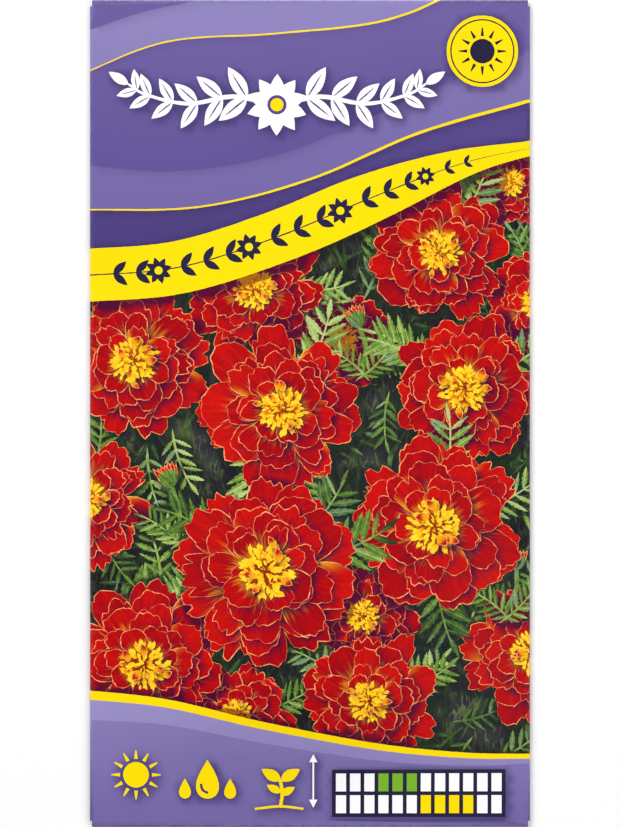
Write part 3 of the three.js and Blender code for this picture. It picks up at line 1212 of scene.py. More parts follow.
@dataclass(frozen=True)
class Shadows:
    """Soft shadows that the upper shapes of the picture throw on the lower ones, painted in as in a print."""

    patches: Sequence[Patch]
    low: Point = (-42.0, -100.0)
    high: Point = (42.0, 100.0)
    pitch: float = 0.2
    blur: float = 0.62
    offset: float = 0.5
    depth: float = 0.9

    def cells(self, points: Array) -> Array:
        """Where points lie on the grid that the heights are kept in."""
        return (points - np.array(self.low)) / self.pitch - 0.5

    @cached_property
    def height(self) -> Array:
        """How high the shapes lie over each cell of the grid, blurred and moved down to the right."""
        columns = int((self.high[0] - self.low[0]) / self.pitch)
        rows = int((self.high[1] - self.low[1]) / self.pitch)
        height = np.zeros((rows, columns))
        for patch in self.patches:
            outline = self.cells(patch.outline)
            first = np.clip(np.floor(outline.min(axis=0)).astype(int), 0, (columns, rows))
            last = np.clip(np.ceil(outline.max(axis=0)).astype(int) + 1, first, (columns, rows))
            x, y = np.meshgrid(np.arange(first[0], last[0]), np.arange(first[1], last[1]))
            part = height[first[1]:last[1], first[0]:last[0]]
            part[inside(outline, np.stack([x.ravel(), y.ravel()], axis=1)).reshape(part.shape)] = patch.lift
        spread = int(self.blur / self.pitch)
        steps = np.arange(-3 * spread, 3 * spread + 1)
        weights = np.exp(-0.5 * (steps / spread) ** 2)
        weights /= weights.sum()
        for axis in (0, 1):
            height = np.apply_along_axis(np.convolve, axis, height, weights, mode="same")
        shift = round(self.offset / self.pitch)
        return np.roll(height, (-shift, shift), axis=(0, 1))

    def at(self, points: Array, lift: float) -> Array:
        """Reads how dark the shadow is.

        Args:
            points: Points of the flat sheet, one row each.
            lift: How high the shape at the points lies.

        Returns:
            From 0, no shadow, to 1.
        """
        height = self.height
        column, row = self.cells(points).T
        column = np.clip(column, 0, height.shape[1] - 1.001)
        row = np.clip(row, 0, height.shape[0] - 1.001)
        i, j = column.astype(int), row.astype(int)
        s, t = column - i, row - j
        lower = height[j, i] * (1 - s) + height[j, i + 1] * s
        upper = height[j + 1, i] * (1 - s) + height[j + 1, i + 1] * s
        return np.clip((lower * (1 - t) + upper * t - lift) / self.depth, 0, 1)


@dataclass(frozen=True)
class PrintedSheet:
    """The folded sheet with its print."""

    folding: Folding
    art: Artwork
    print_step: float = 0.05
    front_pitch: float = 1.45
    back_pitch: float = 2.4
    inner_pitch: float = 2.8

    @cached_property
    def patches(self) -> list[Patch]:
        """The print's patches on the bare sheet, which is the first of them."""
        return [Patch(self.folding.outline(), Ink.WHITE), *self.art.patches]

    def cut(self) -> CutSheet:
        """Cuts the flat sheet along the print's visible edges and along the folds."""
        outlines = [patch.outline for patch in self.patches]
        starts = np.cumsum([0, *map(len, outlines)])
        edges = np.vstack([ring_edges(np.arange(*ends)) for ends in zip(starts, starts[1:])])
        points, triangles, _ = triangulate(np.vstack(outlines), edges)
        owners = uppermost(points[triangles].mean(axis=1), self.patches)
        LOG.info("print: %d patches cut into %d pieces", len(outlines), len(triangles))
        edges = self.visible_edges(triangles, owners)
        dots, dot = np.unique(np.round(points / self.print_step), axis=0, return_inverse=True)
        edges = np.unique(np.sort(dot.reshape(-1)[edges], axis=1), axis=0)
        edges = edges[edges[:, 0] != edges[:, 1]]
        used, compact = np.unique(edges, return_inverse=True)
        printed = dots[used] * self.print_step
        folds = self.folding.creases().reshape(-1, 2)
        joined = len(used) + np.arange(len(folds)).reshape(-1, 2)
        rim = ring_edges(len(used) + len(folds) + np.arange(len(outlines[0])))
        points = np.vstack([printed, folds, outlines[0], self.grid(printed)])
        points, triangles, _ = triangulate(points, np.vstack([compact.reshape(-1, 2), joined, rim]))
        owners = uppermost(points[triangles].mean(axis=1), self.patches)
        return CutSheet(points, triangles[owners >= 0], owners[owners >= 0])

    @staticmethod
    def visible_edges(triangles: Array, owners: Array) -> Array:
        """The edges between triangles on the sheet that show different patches.

        Args:
            triangles: The triangles.
            owners: The patch that each shows.

        Returns:
            Pairs of points.
        """
        edges = np.sort(triangle_edges(triangles), axis=1)
        shown = np.tile(owners, 3)
        order = np.lexsort((edges[:, 1], edges[:, 0]))
        edges, shown = edges[order], shown[order]
        differs = np.zeros(len(edges), dtype=bool)
        differs[:-1] = np.all(edges[1:] == edges[:-1], axis=1) & (shown[1:] != shown[:-1])
        differs[:-1] &= np.minimum(shown[1:], shown[:-1]) >= 0
        return edges[differs]

    def grid(self, taken: Array) -> Array:
        """Points inside the flat areas, fine on the front and coarse behind.

        Args:
            taken: The points that the print's edges already have.

        Returns:
            The grid's points, those on the front clear of the taken ones.
        """
        cell = 0.45 * self.front_pitch
        front = self.front_grid(self.front_pitch)
        cells = set(map(tuple, np.floor(taken / cell).astype(int).tolist()))
        clear = [tuple(spot) not in cells for spot in np.floor(front / cell).astype(int).tolist()]
        return np.vstack([front[np.array(clear)], *self.wing_grids()])

    def front_grid(self, pitch: float) -> Array:
        """Points all over the front panel."""
        corner = (self.folding.front_x, self.folding.front_y)
        return staggered_grid((-corner[0], -corner[1]), corner, pitch)

    def wing_grids(self) -> list[Array]:
        """Points on each of the two wings, clear of its fold and its edges."""
        fold, gap = self.folding, 0.4
        near, high = fold.front_x + fold.side_arc + gap, fold.wing_end - gap
        outer = fold.back_reach + fold.seam_to - gap
        inner = fold.back_reach - fold.seam_from - gap
        boxes = (((-outer, -high), (-near, high)), ((near, -high), (inner, high)))
        return [staggered_grid(*box, self.back_pitch) for box in boxes]

    @staticmethod
    def boundary(triangles: Array) -> list[int]:
        """The ring of points round the cut sheet, counter-clockwise.

        Args:
            triangles: All its triangles.

        Returns:
            The points, in order.
        """
        known = set(map(tuple, triangle_edges(triangles).tolist()))
        following = {a: b for a, b in known if (b, a) not in known}
        ring = [next(iter(following))]
        while following[ring[-1]] != ring[0]:
            ring.append(following[ring[-1]])
        return ring

    def lining(self, ring: Array) -> tuple[Array, Array]:
        """Cuts the inner face into triangles that share the outer face's edge points.

        Args:
            ring: The points of the cut edge, in order.

        Returns:
            The points, with the ring's first, and the triangles.
        """
        short = 0.03  # the folds stop this far from the cut edge
        folds = self.folding.creases()
        folds = (folds + short * np.sign(folds[:, ::-1] - folds)).reshape(-1, 2)
        joined = len(ring) + np.arange(len(folds)).reshape(-1, 2)
        edges = np.vstack([ring_edges(np.arange(len(ring))), joined])
        laid = np.vstack([ring, folds, self.front_grid(self.inner_pitch), *self.wing_grids()])
        points, triangles, stands_for = triangulate(laid, edges)
        triangles = triangles[inside(self.folding.outline(), points[triangles].mean(axis=1))]
        number = {old: new for new, olds in enumerate(stands_for) for old in olds if old < len(ring)}
        order = [number[old] for old in range(len(ring))]
        order += sorted(set(range(len(points))) - set(order))
        renumber = np.empty(len(points), dtype=int)
        renumber[order] = np.arange(len(points))
        return points[order], renumber[triangles]

    def build(self) -> Object:
        """Builds the folded sheet.

        Returns:
            The finished object.
        """
        sheet = self.cut()
        used, compact = np.unique(sheet.triangles, return_inverse=True)
        ring = np.searchsorted(used, self.boundary(sheet.triangles))
        sheet = CutSheet(sheet.points[used], compact.reshape(-1, 3), sheet.owners)
        inner, lining = self.lining(sheet.points[ring])
        lining = lining[:, ::-1]
        start, half = len(sheet.points), self.folding.paper / 2
        places = np.vstack([self.folding.skin(sheet.points, half), self.folding.skin(inner, -half)])
        first, last = ring_edges(np.arange(len(ring))).T
        rim = np.stack([ring[last], ring, start + first, start + last], axis=1)
        rim = np.vstack([rim[:, [0, 1, 2]], rim[:, [0, 2, 3]]])
        faces = np.vstack([sheet.triangles, start + lining, rim])
        piece = add_mesh("printed_sheet", places, faces, *(ink.value.material for ink in Ink))
        self.dress(piece.data, sheet)
        self.lay_out(piece.data, sheet.points[sheet.triangles], inner[lining], len(ring))
        piece.data.polygons.foreach_set("use_smooth", np.arange(len(faces)) < len(faces) - len(rim))
        piece.data.update()
        return piece

    def dress(self, mesh: Mesh, sheet: CutSheet) -> None:
        """Gives each face its ink, and each corner and point what the ink's pattern reads.

        Args:
            mesh: The sheet's mesh, whose first points and faces are those of the cut sheet.
            sheet: The cut sheet.
        """
        count = len(mesh.polygons)
        number = {ink: place for place, ink in enumerate(Ink)}
        slots = np.full(count, number[Ink.RAW])
        slots[: len(sheet.triangles)] = [number[self.patches[owner].ink] for owner in sheet.owners]
        mesh.polygons.foreach_set("material_index", slots)
        shadows = Shadows(self.art.patches)
        spots, shade, wear = np.zeros((3 * count, 3)), np.zeros(3 * count), np.zeros(len(mesh.vertices))
        order = np.argsort(sheet.owners, kind="stable")
        bounds = np.searchsorted(sheet.owners[order], np.arange(len(self.patches) + 1))
        for patch, start, stop in zip(self.patches, bounds, bounds[1:]):
            mine = order[start:stop]
            corners = (3 * mine[:, None] + np.arange(3)).ravel()
            points = sheet.points[sheet.triangles[mine].ravel()]
            spots[corners, :2] = patch.spot.at(points)
            spots[corners, 2] = patch.tone
            shade[corners] = shadows.at(points, patch.lift) * (np.abs(points[:, 0]) < self.art.edge - 0.1)
        wear[: len(sheet.points)] = self.folding.wear(sheet.points)
        store(mesh, "spot", "CORNER", spots)
        store(mesh, "shade", "CORNER", shade)
        store(mesh, "wear", "POINT", wear)

    def lay_out(self, mesh: Mesh, outer: Array, inner: Array, rim_count: int) -> None:
        """Gives the mesh a flat map: the outer face as the uncut sheet, the rest small beside it.

        Args:
            mesh: The sheet's mesh.
            outer: The corners of the outer face's triangles on the flat sheet.
            inner: The same of the inner face.
            rim_count: How many pieces the cut edge has.
        """
        low, high = self.folding.outline().min(axis=0), self.folding.outline().max(axis=0)
        side = high[1] - low[1] + 2
        left = high[0] - low[0] + 2
        room = side - left - 1
        scale = room / (high[0] - low[0])
        small = (np.array((high[0], low[1])) - inner) * (scale, -scale) + (left, 1)
        cell, row = 0.5, 0.6
        across = int(room / cell)
        number = np.arange(rim_count)
        corner = np.stack([number % across * cell, number // across * row], axis=1)
        corner += (left, 2 + scale * (high[1] - low[1]))
        quad = corner[:, None] + np.array([(cell, 0.3), (0, 0.3), (0, 0), (cell, 0)])
        laid = np.vstack([outer - low + 1, small, quad[:, [0, 1, 2]], quad[:, [0, 2, 3]]])
        mesh.uv_layers.new(name="OFBake").data.foreach_set("uv", (laid / side).ravel())


# Finishes -------------------------------------------------


@dataclass(frozen=True)
class Value:
    """A number that a tree works out. A sum written with it adds the nodes that work the sum out."""

    maker: Maker
    socket: Socket

    def __add__(self, other: Value | Socket | float) -> Value:
        """Adds the two."""
        return self.maker.math("ADD", self, other)

    def __sub__(self, other: Value | Socket | float) -> Value:
        """Takes the other away."""
        return self.maker.math("SUBTRACT", self, other)

    def __mul__(self, other: Value | Socket | float) -> Value:
        """Multiplies the two."""
        return self.maker.math("MULTIPLY", self, other)

    def __abs__(self) -> Value:
        """Drops the sign."""
        return self.maker.math("ABSOLUTE", self)


@dataclass
class Maker:
    """Adds the nodes of a tree, one at a time."""

    tree: bpy.types.NodeTree

    def feed(self, socket: Socket, value: object) -> None:
        """Fills a socket.

        Args:
            socket: The socket.
            value: Another node's output, or a plain value.
        """
        value = value.socket if isinstance(value, Value) else value
        if isinstance(value, Socket):
            self.tree.links.new(value, socket)
        elif socket.type == "RGBA":
            socket.default_value = (*value[:3], 1.0)
        else:
            socket.default_value = value

    def node(self, kind: str, inputs: Inputs | None = None, **settings: object) -> bpy.types.Node:
        """Adds a node.

        Args:
            kind: Its type.
            inputs: What goes into its sockets.
            **settings: Its own settings.

        Returns:
            The node.
        """
        node = self.tree.nodes.new(kind)
        for name, value in settings.items():
            setattr(node, name, value)
        for name, value in (inputs or {}).items():
            self.feed(node.inputs[name], value)
        return node

    def add(self, kind: str, inputs: Inputs | None = None, **settings: object) -> bpy.types.Node:
        """Adds a node whose type starts as all shader nodes' do."""
        return self.node("ShaderNode" + kind, inputs, **settings)

    def value(self, kind: str, inputs: Inputs | None = None, **settings: object) -> Value:
        """Adds such a node and reads its first output as a number."""
        return Value(self, self.add(kind, inputs, **settings).outputs[0])

    def shape(self, kind: str, inputs: Inputs | None = None, **settings: object) -> Socket:
        """Adds a geometry node and reads its first output."""
        return self.node("GeometryNode" + kind, inputs, **settings).outputs[0]

    def math(self, operation: str, *numbers: object) -> Value:
        """Adds a sum of one, two or three numbers."""
        return self.value("Math", dict(enumerate(numbers)), operation=operation)

    def vector(self, x: object, y: object, z: object) -> Socket:
        """Joins three numbers."""
        return self.add("CombineXYZ", {0: x, 1: y, 2: z}).outputs[0]

    def parts(self, vector: Socket) -> tuple[Value, ...]:
        """Splits a vector into its three numbers."""
        return tuple(Value(self, part) for part in self.add("SeparateXYZ", {0: vector}).outputs)


class Recipe(Maker):
    """A material's nodes."""

    def __init__(self, name: str) -> None:
        """Starts an empty material of the given name."""
        self.material = bpy.data.materials.new(name)
        self.material.use_nodes = True
        super().__init__(self.material.node_tree)
        self.tree.nodes.clear()

    def mix(self, share: object, first: object, second: object, blend: str = "MIX") -> Socket:
        """Mixes two colours."""
        inputs = {0: share, 6: first, 7: second}
        return self.add("Mix", inputs, data_type="RGBA", blend_type=blend).outputs[2]

    def ramp(self, value: Value, stops: Sequence[tuple[float, Colour]]) -> Socket:
        """Turns a number into a colour.

        Args:
            value: The number, 0 to 1.
            stops: Places along the way and their colours.

        Returns:
            The colour.
        """
        node = self.add("ValToRGB", {0: value})
        elements = node.color_ramp.elements
        while len(elements) < len(stops):
            elements.new(0.5)
        for element, (place, colour) in zip(elements, stops):
            element.position = place
            element.color = (*colour, 1.0)
        return node.outputs[0]

    def band(self, value: object, low: float, high: float) -> Value:
        """Goes smoothly from 0 to 1 as a number goes from low to high, or back where low is the larger."""
        ends = {1: low, 2: high, 3: 0.0, 4: 1.0} if low < high else {1: high, 2: low, 3: 1.0, 4: 0.0}
        return self.value("MapRange", {0: value, **ends}, interpolation_type="SMOOTHSTEP")

    def noise(
        self, scale: float, detail: float = 2.0, where: Socket | None = None, roughness: float = 0.5
    ) -> Value:
        """Adds a noise pattern.

        Args:
            scale: How fine it is.
            detail: How many finer layers it has.
            where: Where it is read; the object's own coordinates, if left out.
            roughness: How strong the finer layers are.

        Returns:
            The pattern, 0 to 1.
        """
        where = where or self.add("TexCoord").outputs["Object"]
        inputs = {"Vector": where, "Scale": scale, "Detail": detail, "Roughness": roughness}
        return self.value("TexNoise", inputs)

    def spot(self) -> tuple[Value, ...]:
        """Reads where a patch's own directions put a point, across and along, and the patch's tone."""
        return self.parts(self.add("Attribute", attribute_name="spot").outputs["Vector"])

    def number(self, name: str) -> Value:
        """Reads a number that the mesh holds under a name."""
        return Value(self, self.add("Attribute", attribute_name=name).outputs["Fac"])

    def finish(
        self, colour: object, roughness: object, height: Value, strength: float, **settings: float
    ) -> Material:
        """Ends the material with its shader.

        Args:
            colour: Its colour.
            roughness: Its roughness.
            height: What raises its surface.
            strength: How much that shows.
            **settings: Further numbers of the shader, with low lines for the spaces in their names.

        Returns:
            The material.
        """
        bump = self.add("Bump", {"Strength": strength, "Distance": 0.00003, "Height": height})
        inputs = {"Base Color": colour, "Roughness": roughness, "Normal": bump.outputs[0]}
        inputs.update({name.replace("_", " "): value for name, value in settings.items()})
        shader = self.add("BsdfPrincipled", inputs)
        self.add("OutputMaterial", {0: shader.outputs[0]})
        return self.material


@dataclass(frozen=True)
class Finish:
    """What a surface is made of and how light plays on it."""

    name: str

    @cached_property
    def recipe(self) -> Recipe:
        """The nodes of its material."""
        return Recipe(self.name)


@dataclass(frozen=True)
class Coated(Finish):
    """Ink on coated paper, which wears off along the folds."""

    roughness: float = 0.44
    gloss: float = 0.11
    coat: float = 0.02
    rubbed: Colour = srgb(238, 234, 236)

    @cached_property
    def colour(self) -> Socket:
        """The ink's colour before wear, which each ink works out in its own way."""
        raise NotImplementedError

    @cached_property
    def material(self) -> Material:
        """The finished material."""
        recipe = self.recipe
        speckle = (recipe.noise(9000, 1) - 0.5) * 0.09 + 1.0
        colour = recipe.mix(1.0, self.colour, recipe.vector(speckle, speckle, speckle), "MULTIPLY")
        rub = recipe.number("wear") * recipe.band(recipe.noise(1500, 4, roughness=0.65), 0.42, 0.66)
        colour = recipe.mix(rub * 0.1, colour, self.rubbed)
        rough = recipe.noise(130, 2) * 0.1 + rub * 0.3 + (self.roughness - 0.05)
        shine = {"Specular_IOR_Level": self.gloss, "Coat_Weight": self.coat, "Coat_Roughness": 0.28}
        return recipe.finish(colour, rough, recipe.noise(5200, 3), 0.12, **shine)


@dataclass(frozen=True)
class SolidInk(Coated):
    """A flat field of one ink, a little uneven, darker where something throws a shadow on it."""

    body: Colour = (0.5, 0.5, 0.5)
    dark: Colour = (0.4, 0.4, 0.4)

    @cached_property
    def colour(self) -> Socket:
        """The field's colour."""
        recipe = self.recipe
        uneven = recipe.band(recipe.noise(60, 2), 0.35, 0.8) * 0.25
        return recipe.mix(recipe.math("MAXIMUM", uneven, recipe.number("shade") * 0.6), self.body, self.dark)


@dataclass(frozen=True)
class GradedInk(Coated):
    """A violet field whose tone runs from dark to light, and which grows lighter along its own direction."""

    stops: tuple[tuple[float, Colour], ...] = (
        (0.0, srgb(66, 52, 112)), (0.3, srgb(92, 77, 142)), (0.6, srgb(114, 100, 160)),
        (1.0, srgb(148, 138, 190)),
    )
    slope: float = 0.26
    shadow: Colour = srgb(54, 42, 92)

    @cached_property
    def colour(self) -> Socket:
        """The field's colour."""
        recipe = self.recipe
        _, along, tone = recipe.spot()
        level = (along - 0.5) * self.slope + tone + (recipe.noise(45, 2) - 0.5) * 0.08
        return recipe.mix(recipe.number("shade") * 0.7, recipe.ramp(level, self.stops), self.shadow)


@dataclass(frozen=True)
class PetalInk(Coated):
    """The picture's red petals: streaked, with an orange flare at the foot and maroon in the shadows."""

    dim: Colour = srgb(108, 2, 36)
    deep: Colour = srgb(138, 0, 20)
    body: Colour = srgb(170, 0, 10)
    bright: Colour = srgb(206, 14, 2)
    flare: Colour = srgb(246, 168, 20)
    glint: Colour = srgb(230, 62, 36)
    shadow: Colour = srgb(66, 2, 44)

    @cached_property
    def colour(self) -> Socket:
        """The petals' colour."""
        recipe = self.recipe
        across, along, tone = recipe.spot()
        where = recipe.vector(across * 5.0, along * 1.6, tone * 31.0)
        streak = recipe.noise(1.6, 4, where, 0.6)
        level = streak * 0.75 + tone * 0.32 + recipe.noise(5.0, 2, where) * 0.16 - abs(across) * 0.18
        stops = ((0.08, self.dim), (0.28, self.deep), (0.5, self.body), (0.84, self.bright))
        base = recipe.ramp(level, stops)
        foot = recipe.band(streak * 0.7 - along, -0.36, 0.02) * 0.85
        side = recipe.band(across, 0.45, 0.95) * recipe.band(tone, 0.62, 0.72) * recipe.band(along, 0.95, 0.6)
        base = recipe.mix(recipe.math("MAXIMUM", foot, side * 0.85), base, self.flare)
        base = recipe.mix(recipe.band(recipe.noise(2300, 2), 0.66, 0.78) * 0.5, base, self.glint)
        return recipe.mix(recipe.number("shade") * 0.94, base, self.shadow)


@dataclass(frozen=True)
class RimInk(Coated):
    """The petals' pale rim: salmon at the tips, yellow towards the heart, broken here and there by red."""

    tip: Colour = srgb(255, 176, 112)
    foot: Colour = srgb(252, 206, 48)
    fade: Colour = srgb(200, 44, 16)
    shadow: Colour = srgb(112, 14, 20)

    @cached_property
    def colour(self) -> Socket:
        """The rim's colour."""
        recipe = self.recipe
        across, along, tone = recipe.spot()
        base = recipe.mix(recipe.band(along, 0.85, 0.35), self.tip, self.foot)
        broken = recipe.noise(2.2, 3, recipe.vector(across * 3.0, along, tone * 17.0))
        base = recipe.mix(recipe.band(broken, 0.46, 0.66) * 0.85, base, self.fade)
        base = recipe.mix(recipe.band(recipe.noise(1100, 2), 0.42, 0.66) * 0.5, base, self.fade)
        return recipe.mix(recipe.number("shade") * 0.8, base, self.shadow)


@dataclass(frozen=True)
class FloretInk(Coated):
    """The heart's florets: yellow, with orange feet and brown shadows between them."""

    light: Colour = srgb(255, 220, 40)
    body: Colour = srgb(252, 190, 24)
    foot: Colour = srgb(226, 112, 14)
    shadow: Colour = srgb(120, 40, 10)

    @cached_property
    def colour(self) -> Socket:
        """The florets' colour."""
        recipe = self.recipe
        across, along, tone = recipe.spot()
        level = along * 0.4 + tone * 0.75 + recipe.noise(2100, 3, roughness=0.6) * 0.9 - 0.42
        stops = ((0.1, self.shadow), (0.3, self.foot), (0.56, self.body), (0.95, self.light))
        base = recipe.ramp(level, stops)
        base = recipe.mix(recipe.band(abs(across), 0.16, 0.0) * 0.35, base, self.foot)
        return recipe.mix(recipe.number("shade") * 0.8, base, self.shadow)


@dataclass(frozen=True)
class LeafInk(Coated):
    """The picture's greenery: a pale rib, veins, a bluish bloom, and tones from near black to light green."""

    stops: tuple[tuple[float, Colour], ...] = (
        (0.0, srgb(28, 38, 32)), (0.3, srgb(50, 74, 36)), (0.55, srgb(82, 116, 44)),
        (0.8, srgb(122, 154, 62)), (1.0, srgb(178, 198, 122)),
    )
    bloom: Colour = srgb(120, 150, 140)
    shadow: Colour = srgb(20, 26, 28)

    @cached_property
    def colour(self) -> Socket:
        """The leaves' colour."""
        recipe = self.recipe
        across, along, tone = recipe.spot()
        beside = abs(across)
        veins = recipe.band(recipe.math("SINE", (along - beside * 0.25) * 52.0), 0.3, 1.0) * 0.09
        rib = recipe.band(beside, 0.2, 0.04) * 0.22
        mottle = recipe.noise(900, 4, roughness=0.62) * 0.7 - 0.38
        level = tone + veins + rib + mottle + recipe.band(across, -0.1, 0.1) * 0.09
        dusty = recipe.band(recipe.noise(150, 2), 0.52, 0.68) * recipe.band(level, 0.3, 0.8) * 0.5
        base = recipe.mix(dusty, recipe.ramp(level, self.stops), self.bloom)
        return recipe.mix(recipe.number("shade") * 0.85, base, self.shadow)


@dataclass(frozen=True)
class GroundInk(Coated):
    """The dark ground of the picture: blurred slate and green, with strands of grass that catch the light."""

    slate: Colour = srgb(54, 53, 62)
    dark: Colour = srgb(24, 24, 28)
    green: Colour = srgb(56, 70, 42)
    strand: Colour = srgb(110, 128, 76)

    @cached_property
    def colour(self) -> Socket:
        """The ground's colour."""
        recipe = self.recipe
        x, y, _ = recipe.parts(recipe.add("TexCoord").outputs["Object"])
        base = recipe.mix(recipe.band(recipe.noise(110, 3), 0.35, 0.65), self.dark, self.slate)
        base = recipe.mix(recipe.band(recipe.noise(380, 3), 0.46, 0.66) * 0.9, base, self.green)
        for scale, lean in ((260, 0.35), (430, -0.3), (760, 0.1)):
            where = recipe.vector(x + y * lean, y * 0.3, 0.0)
            middle = abs(recipe.noise(scale, 1, where) - 0.5)
            line = recipe.band(middle, 0.04, 0.008) * recipe.band(recipe.noise(0.7 * scale, 3), 0.4, 0.62)
            base = recipe.mix(line * 0.5, base, self.strand)
        return recipe.mix(recipe.number("shade") * 0.8, base, self.dark)


@dataclass(frozen=True)
class Fibrous(Finish):
    """A fibrous stuff of two colours: the sheet's bare inside, a seed's dry tuft, or dried glue."""

    body: Colour
    fleck: Colour
    scale: float
    roughness: float
    uneven: float = 0.1
    relief: float = 0.25

    @cached_property
    def material(self) -> Material:
        """The finished material."""
        fibres = self.recipe.noise(self.scale, 4, roughness=0.65)
        colour = self.recipe.mix(self.recipe.band(fibres, 0.42, 0.7), self.body, self.fleck)
        return self.recipe.finish(colour, fibres * self.uneven + self.roughness, fibres, self.relief)


@dataclass(frozen=True)
class SeedCoat(Finish):
    """A seed's dark coat, lighter along its ribs."""

    body: Colour = srgb(46, 36, 30)
    rib: Colour = srgb(104, 88, 70)

    @cached_property
    def material(self) -> Material:
        """The finished material."""
        recipe = self.recipe
        fibres = recipe.noise(3800, 4, roughness=0.65)
        share = recipe.band(recipe.number("rib"), 0.1, 0.9) * recipe.band(fibres, 0.3, 0.7)
        return recipe.finish(recipe.mix(share, self.body, self.rib), fibres * 0.2 + 0.5, fibres, 0.3)


class Ink(Enum):
    """What covers a patch of the sheet."""

    GROUND = GroundInk("picture_ground")
    LEAF = LeafInk("leaf_green")
    PETAL = PetalInk("petal_red")
    RIM = RimInk("petal_rim")
    FLORET = FloretInk("floret_yellow")
    VIOLET = GradedInk("violet_field")
    YELLOW = SolidInk("yellow_field", body=srgb(250, 218, 0), dark=srgb(238, 196, 0))
    WHITE = SolidInk("bare_coating", body=srgb(250, 249, 250), dark=srgb(226, 223, 232))
    NAVY = SolidInk("navy_field", body=srgb(36, 34, 62), dark=srgb(20, 18, 40))
    GREEN = SolidInk("green_field", body=srgb(120, 176, 46), dark=srgb(92, 146, 34))
    LILAC = SolidInk("back_lilac", body=srgb(226, 221, 240), dark=srgb(206, 199, 226))
    RAW = Fibrous("raw_paper", srgb(240, 238, 232), srgb(220, 214, 204), scale=2600, roughness=0.78)


# Glue and seeds -------------------------------------------


@dataclass(frozen=True)
class GlueLine:
    """A line of dried glue between two layers of paper, with a wavy edge."""

    name: str
    folding: Folding
    finish: Fibrous
    pitch: float = 1.0
    columns: int = 8
    swell: float = 0.45

    def build(self) -> Object:
        """Builds the line inside its solid's box.

        Returns:
            The finished object.
        """
        low, high = solid_box(self.name)
        size = high - low
        upright = size[1] > size[0]
        along, across = (1, 0) if upright else (0, 1)
        rows = int(size[along] / self.pitch)
        share = np.linspace(0, 1, rows + 1)
        narrow = self.swell * (0.5 + 0.28 * np.sin(29 * share + 1) + 0.22 * np.sin(71 * share))
        ends = np.sqrt(np.clip(np.minimum(share, 1 - share) * rows / 3, 0.04, 1))
        half = (size[across] / 2 - narrow) * ends
        flat = np.zeros((rows + 1, self.columns + 1, 2))
        flat[..., along] = (low[along] + share * size[along])[:, None]
        flat[..., across] = (low + high)[across] / 2 + half[:, None] * np.linspace(-1, 1, self.columns + 1)
        x, y = flat.reshape(-1, 2).T
        sag = self.folding.sag(x, y) if upright else np.zeros_like(x)
        points = np.vstack([np.stack([x, y, z - sag], axis=1) for z in (high[2], low[2])])
        index = np.arange(len(x)).reshape(rows + 1, self.columns + 1)
        quads = np.stack([index[:-1, :-1], index[:-1, 1:], index[1:, 1:], index[1:, :-1]], axis=-1)
        quads = quads.reshape(-1, 4)
        ring = np.concatenate([index[0, :-1], index[:-1, -1], index[-1, :0:-1], index[:0:-1, 0]])
        first, last = ring_edges(ring).T
        wall = np.stack([first, first + len(x), last + len(x), last], axis=1)
        faces = np.vstack([quads, quads[:, ::-1] + len(x), wall])
        faces = faces if upright else faces[:, ::-1]
        return add_mesh(self.name + "_line", points, faces, self.finish.material)


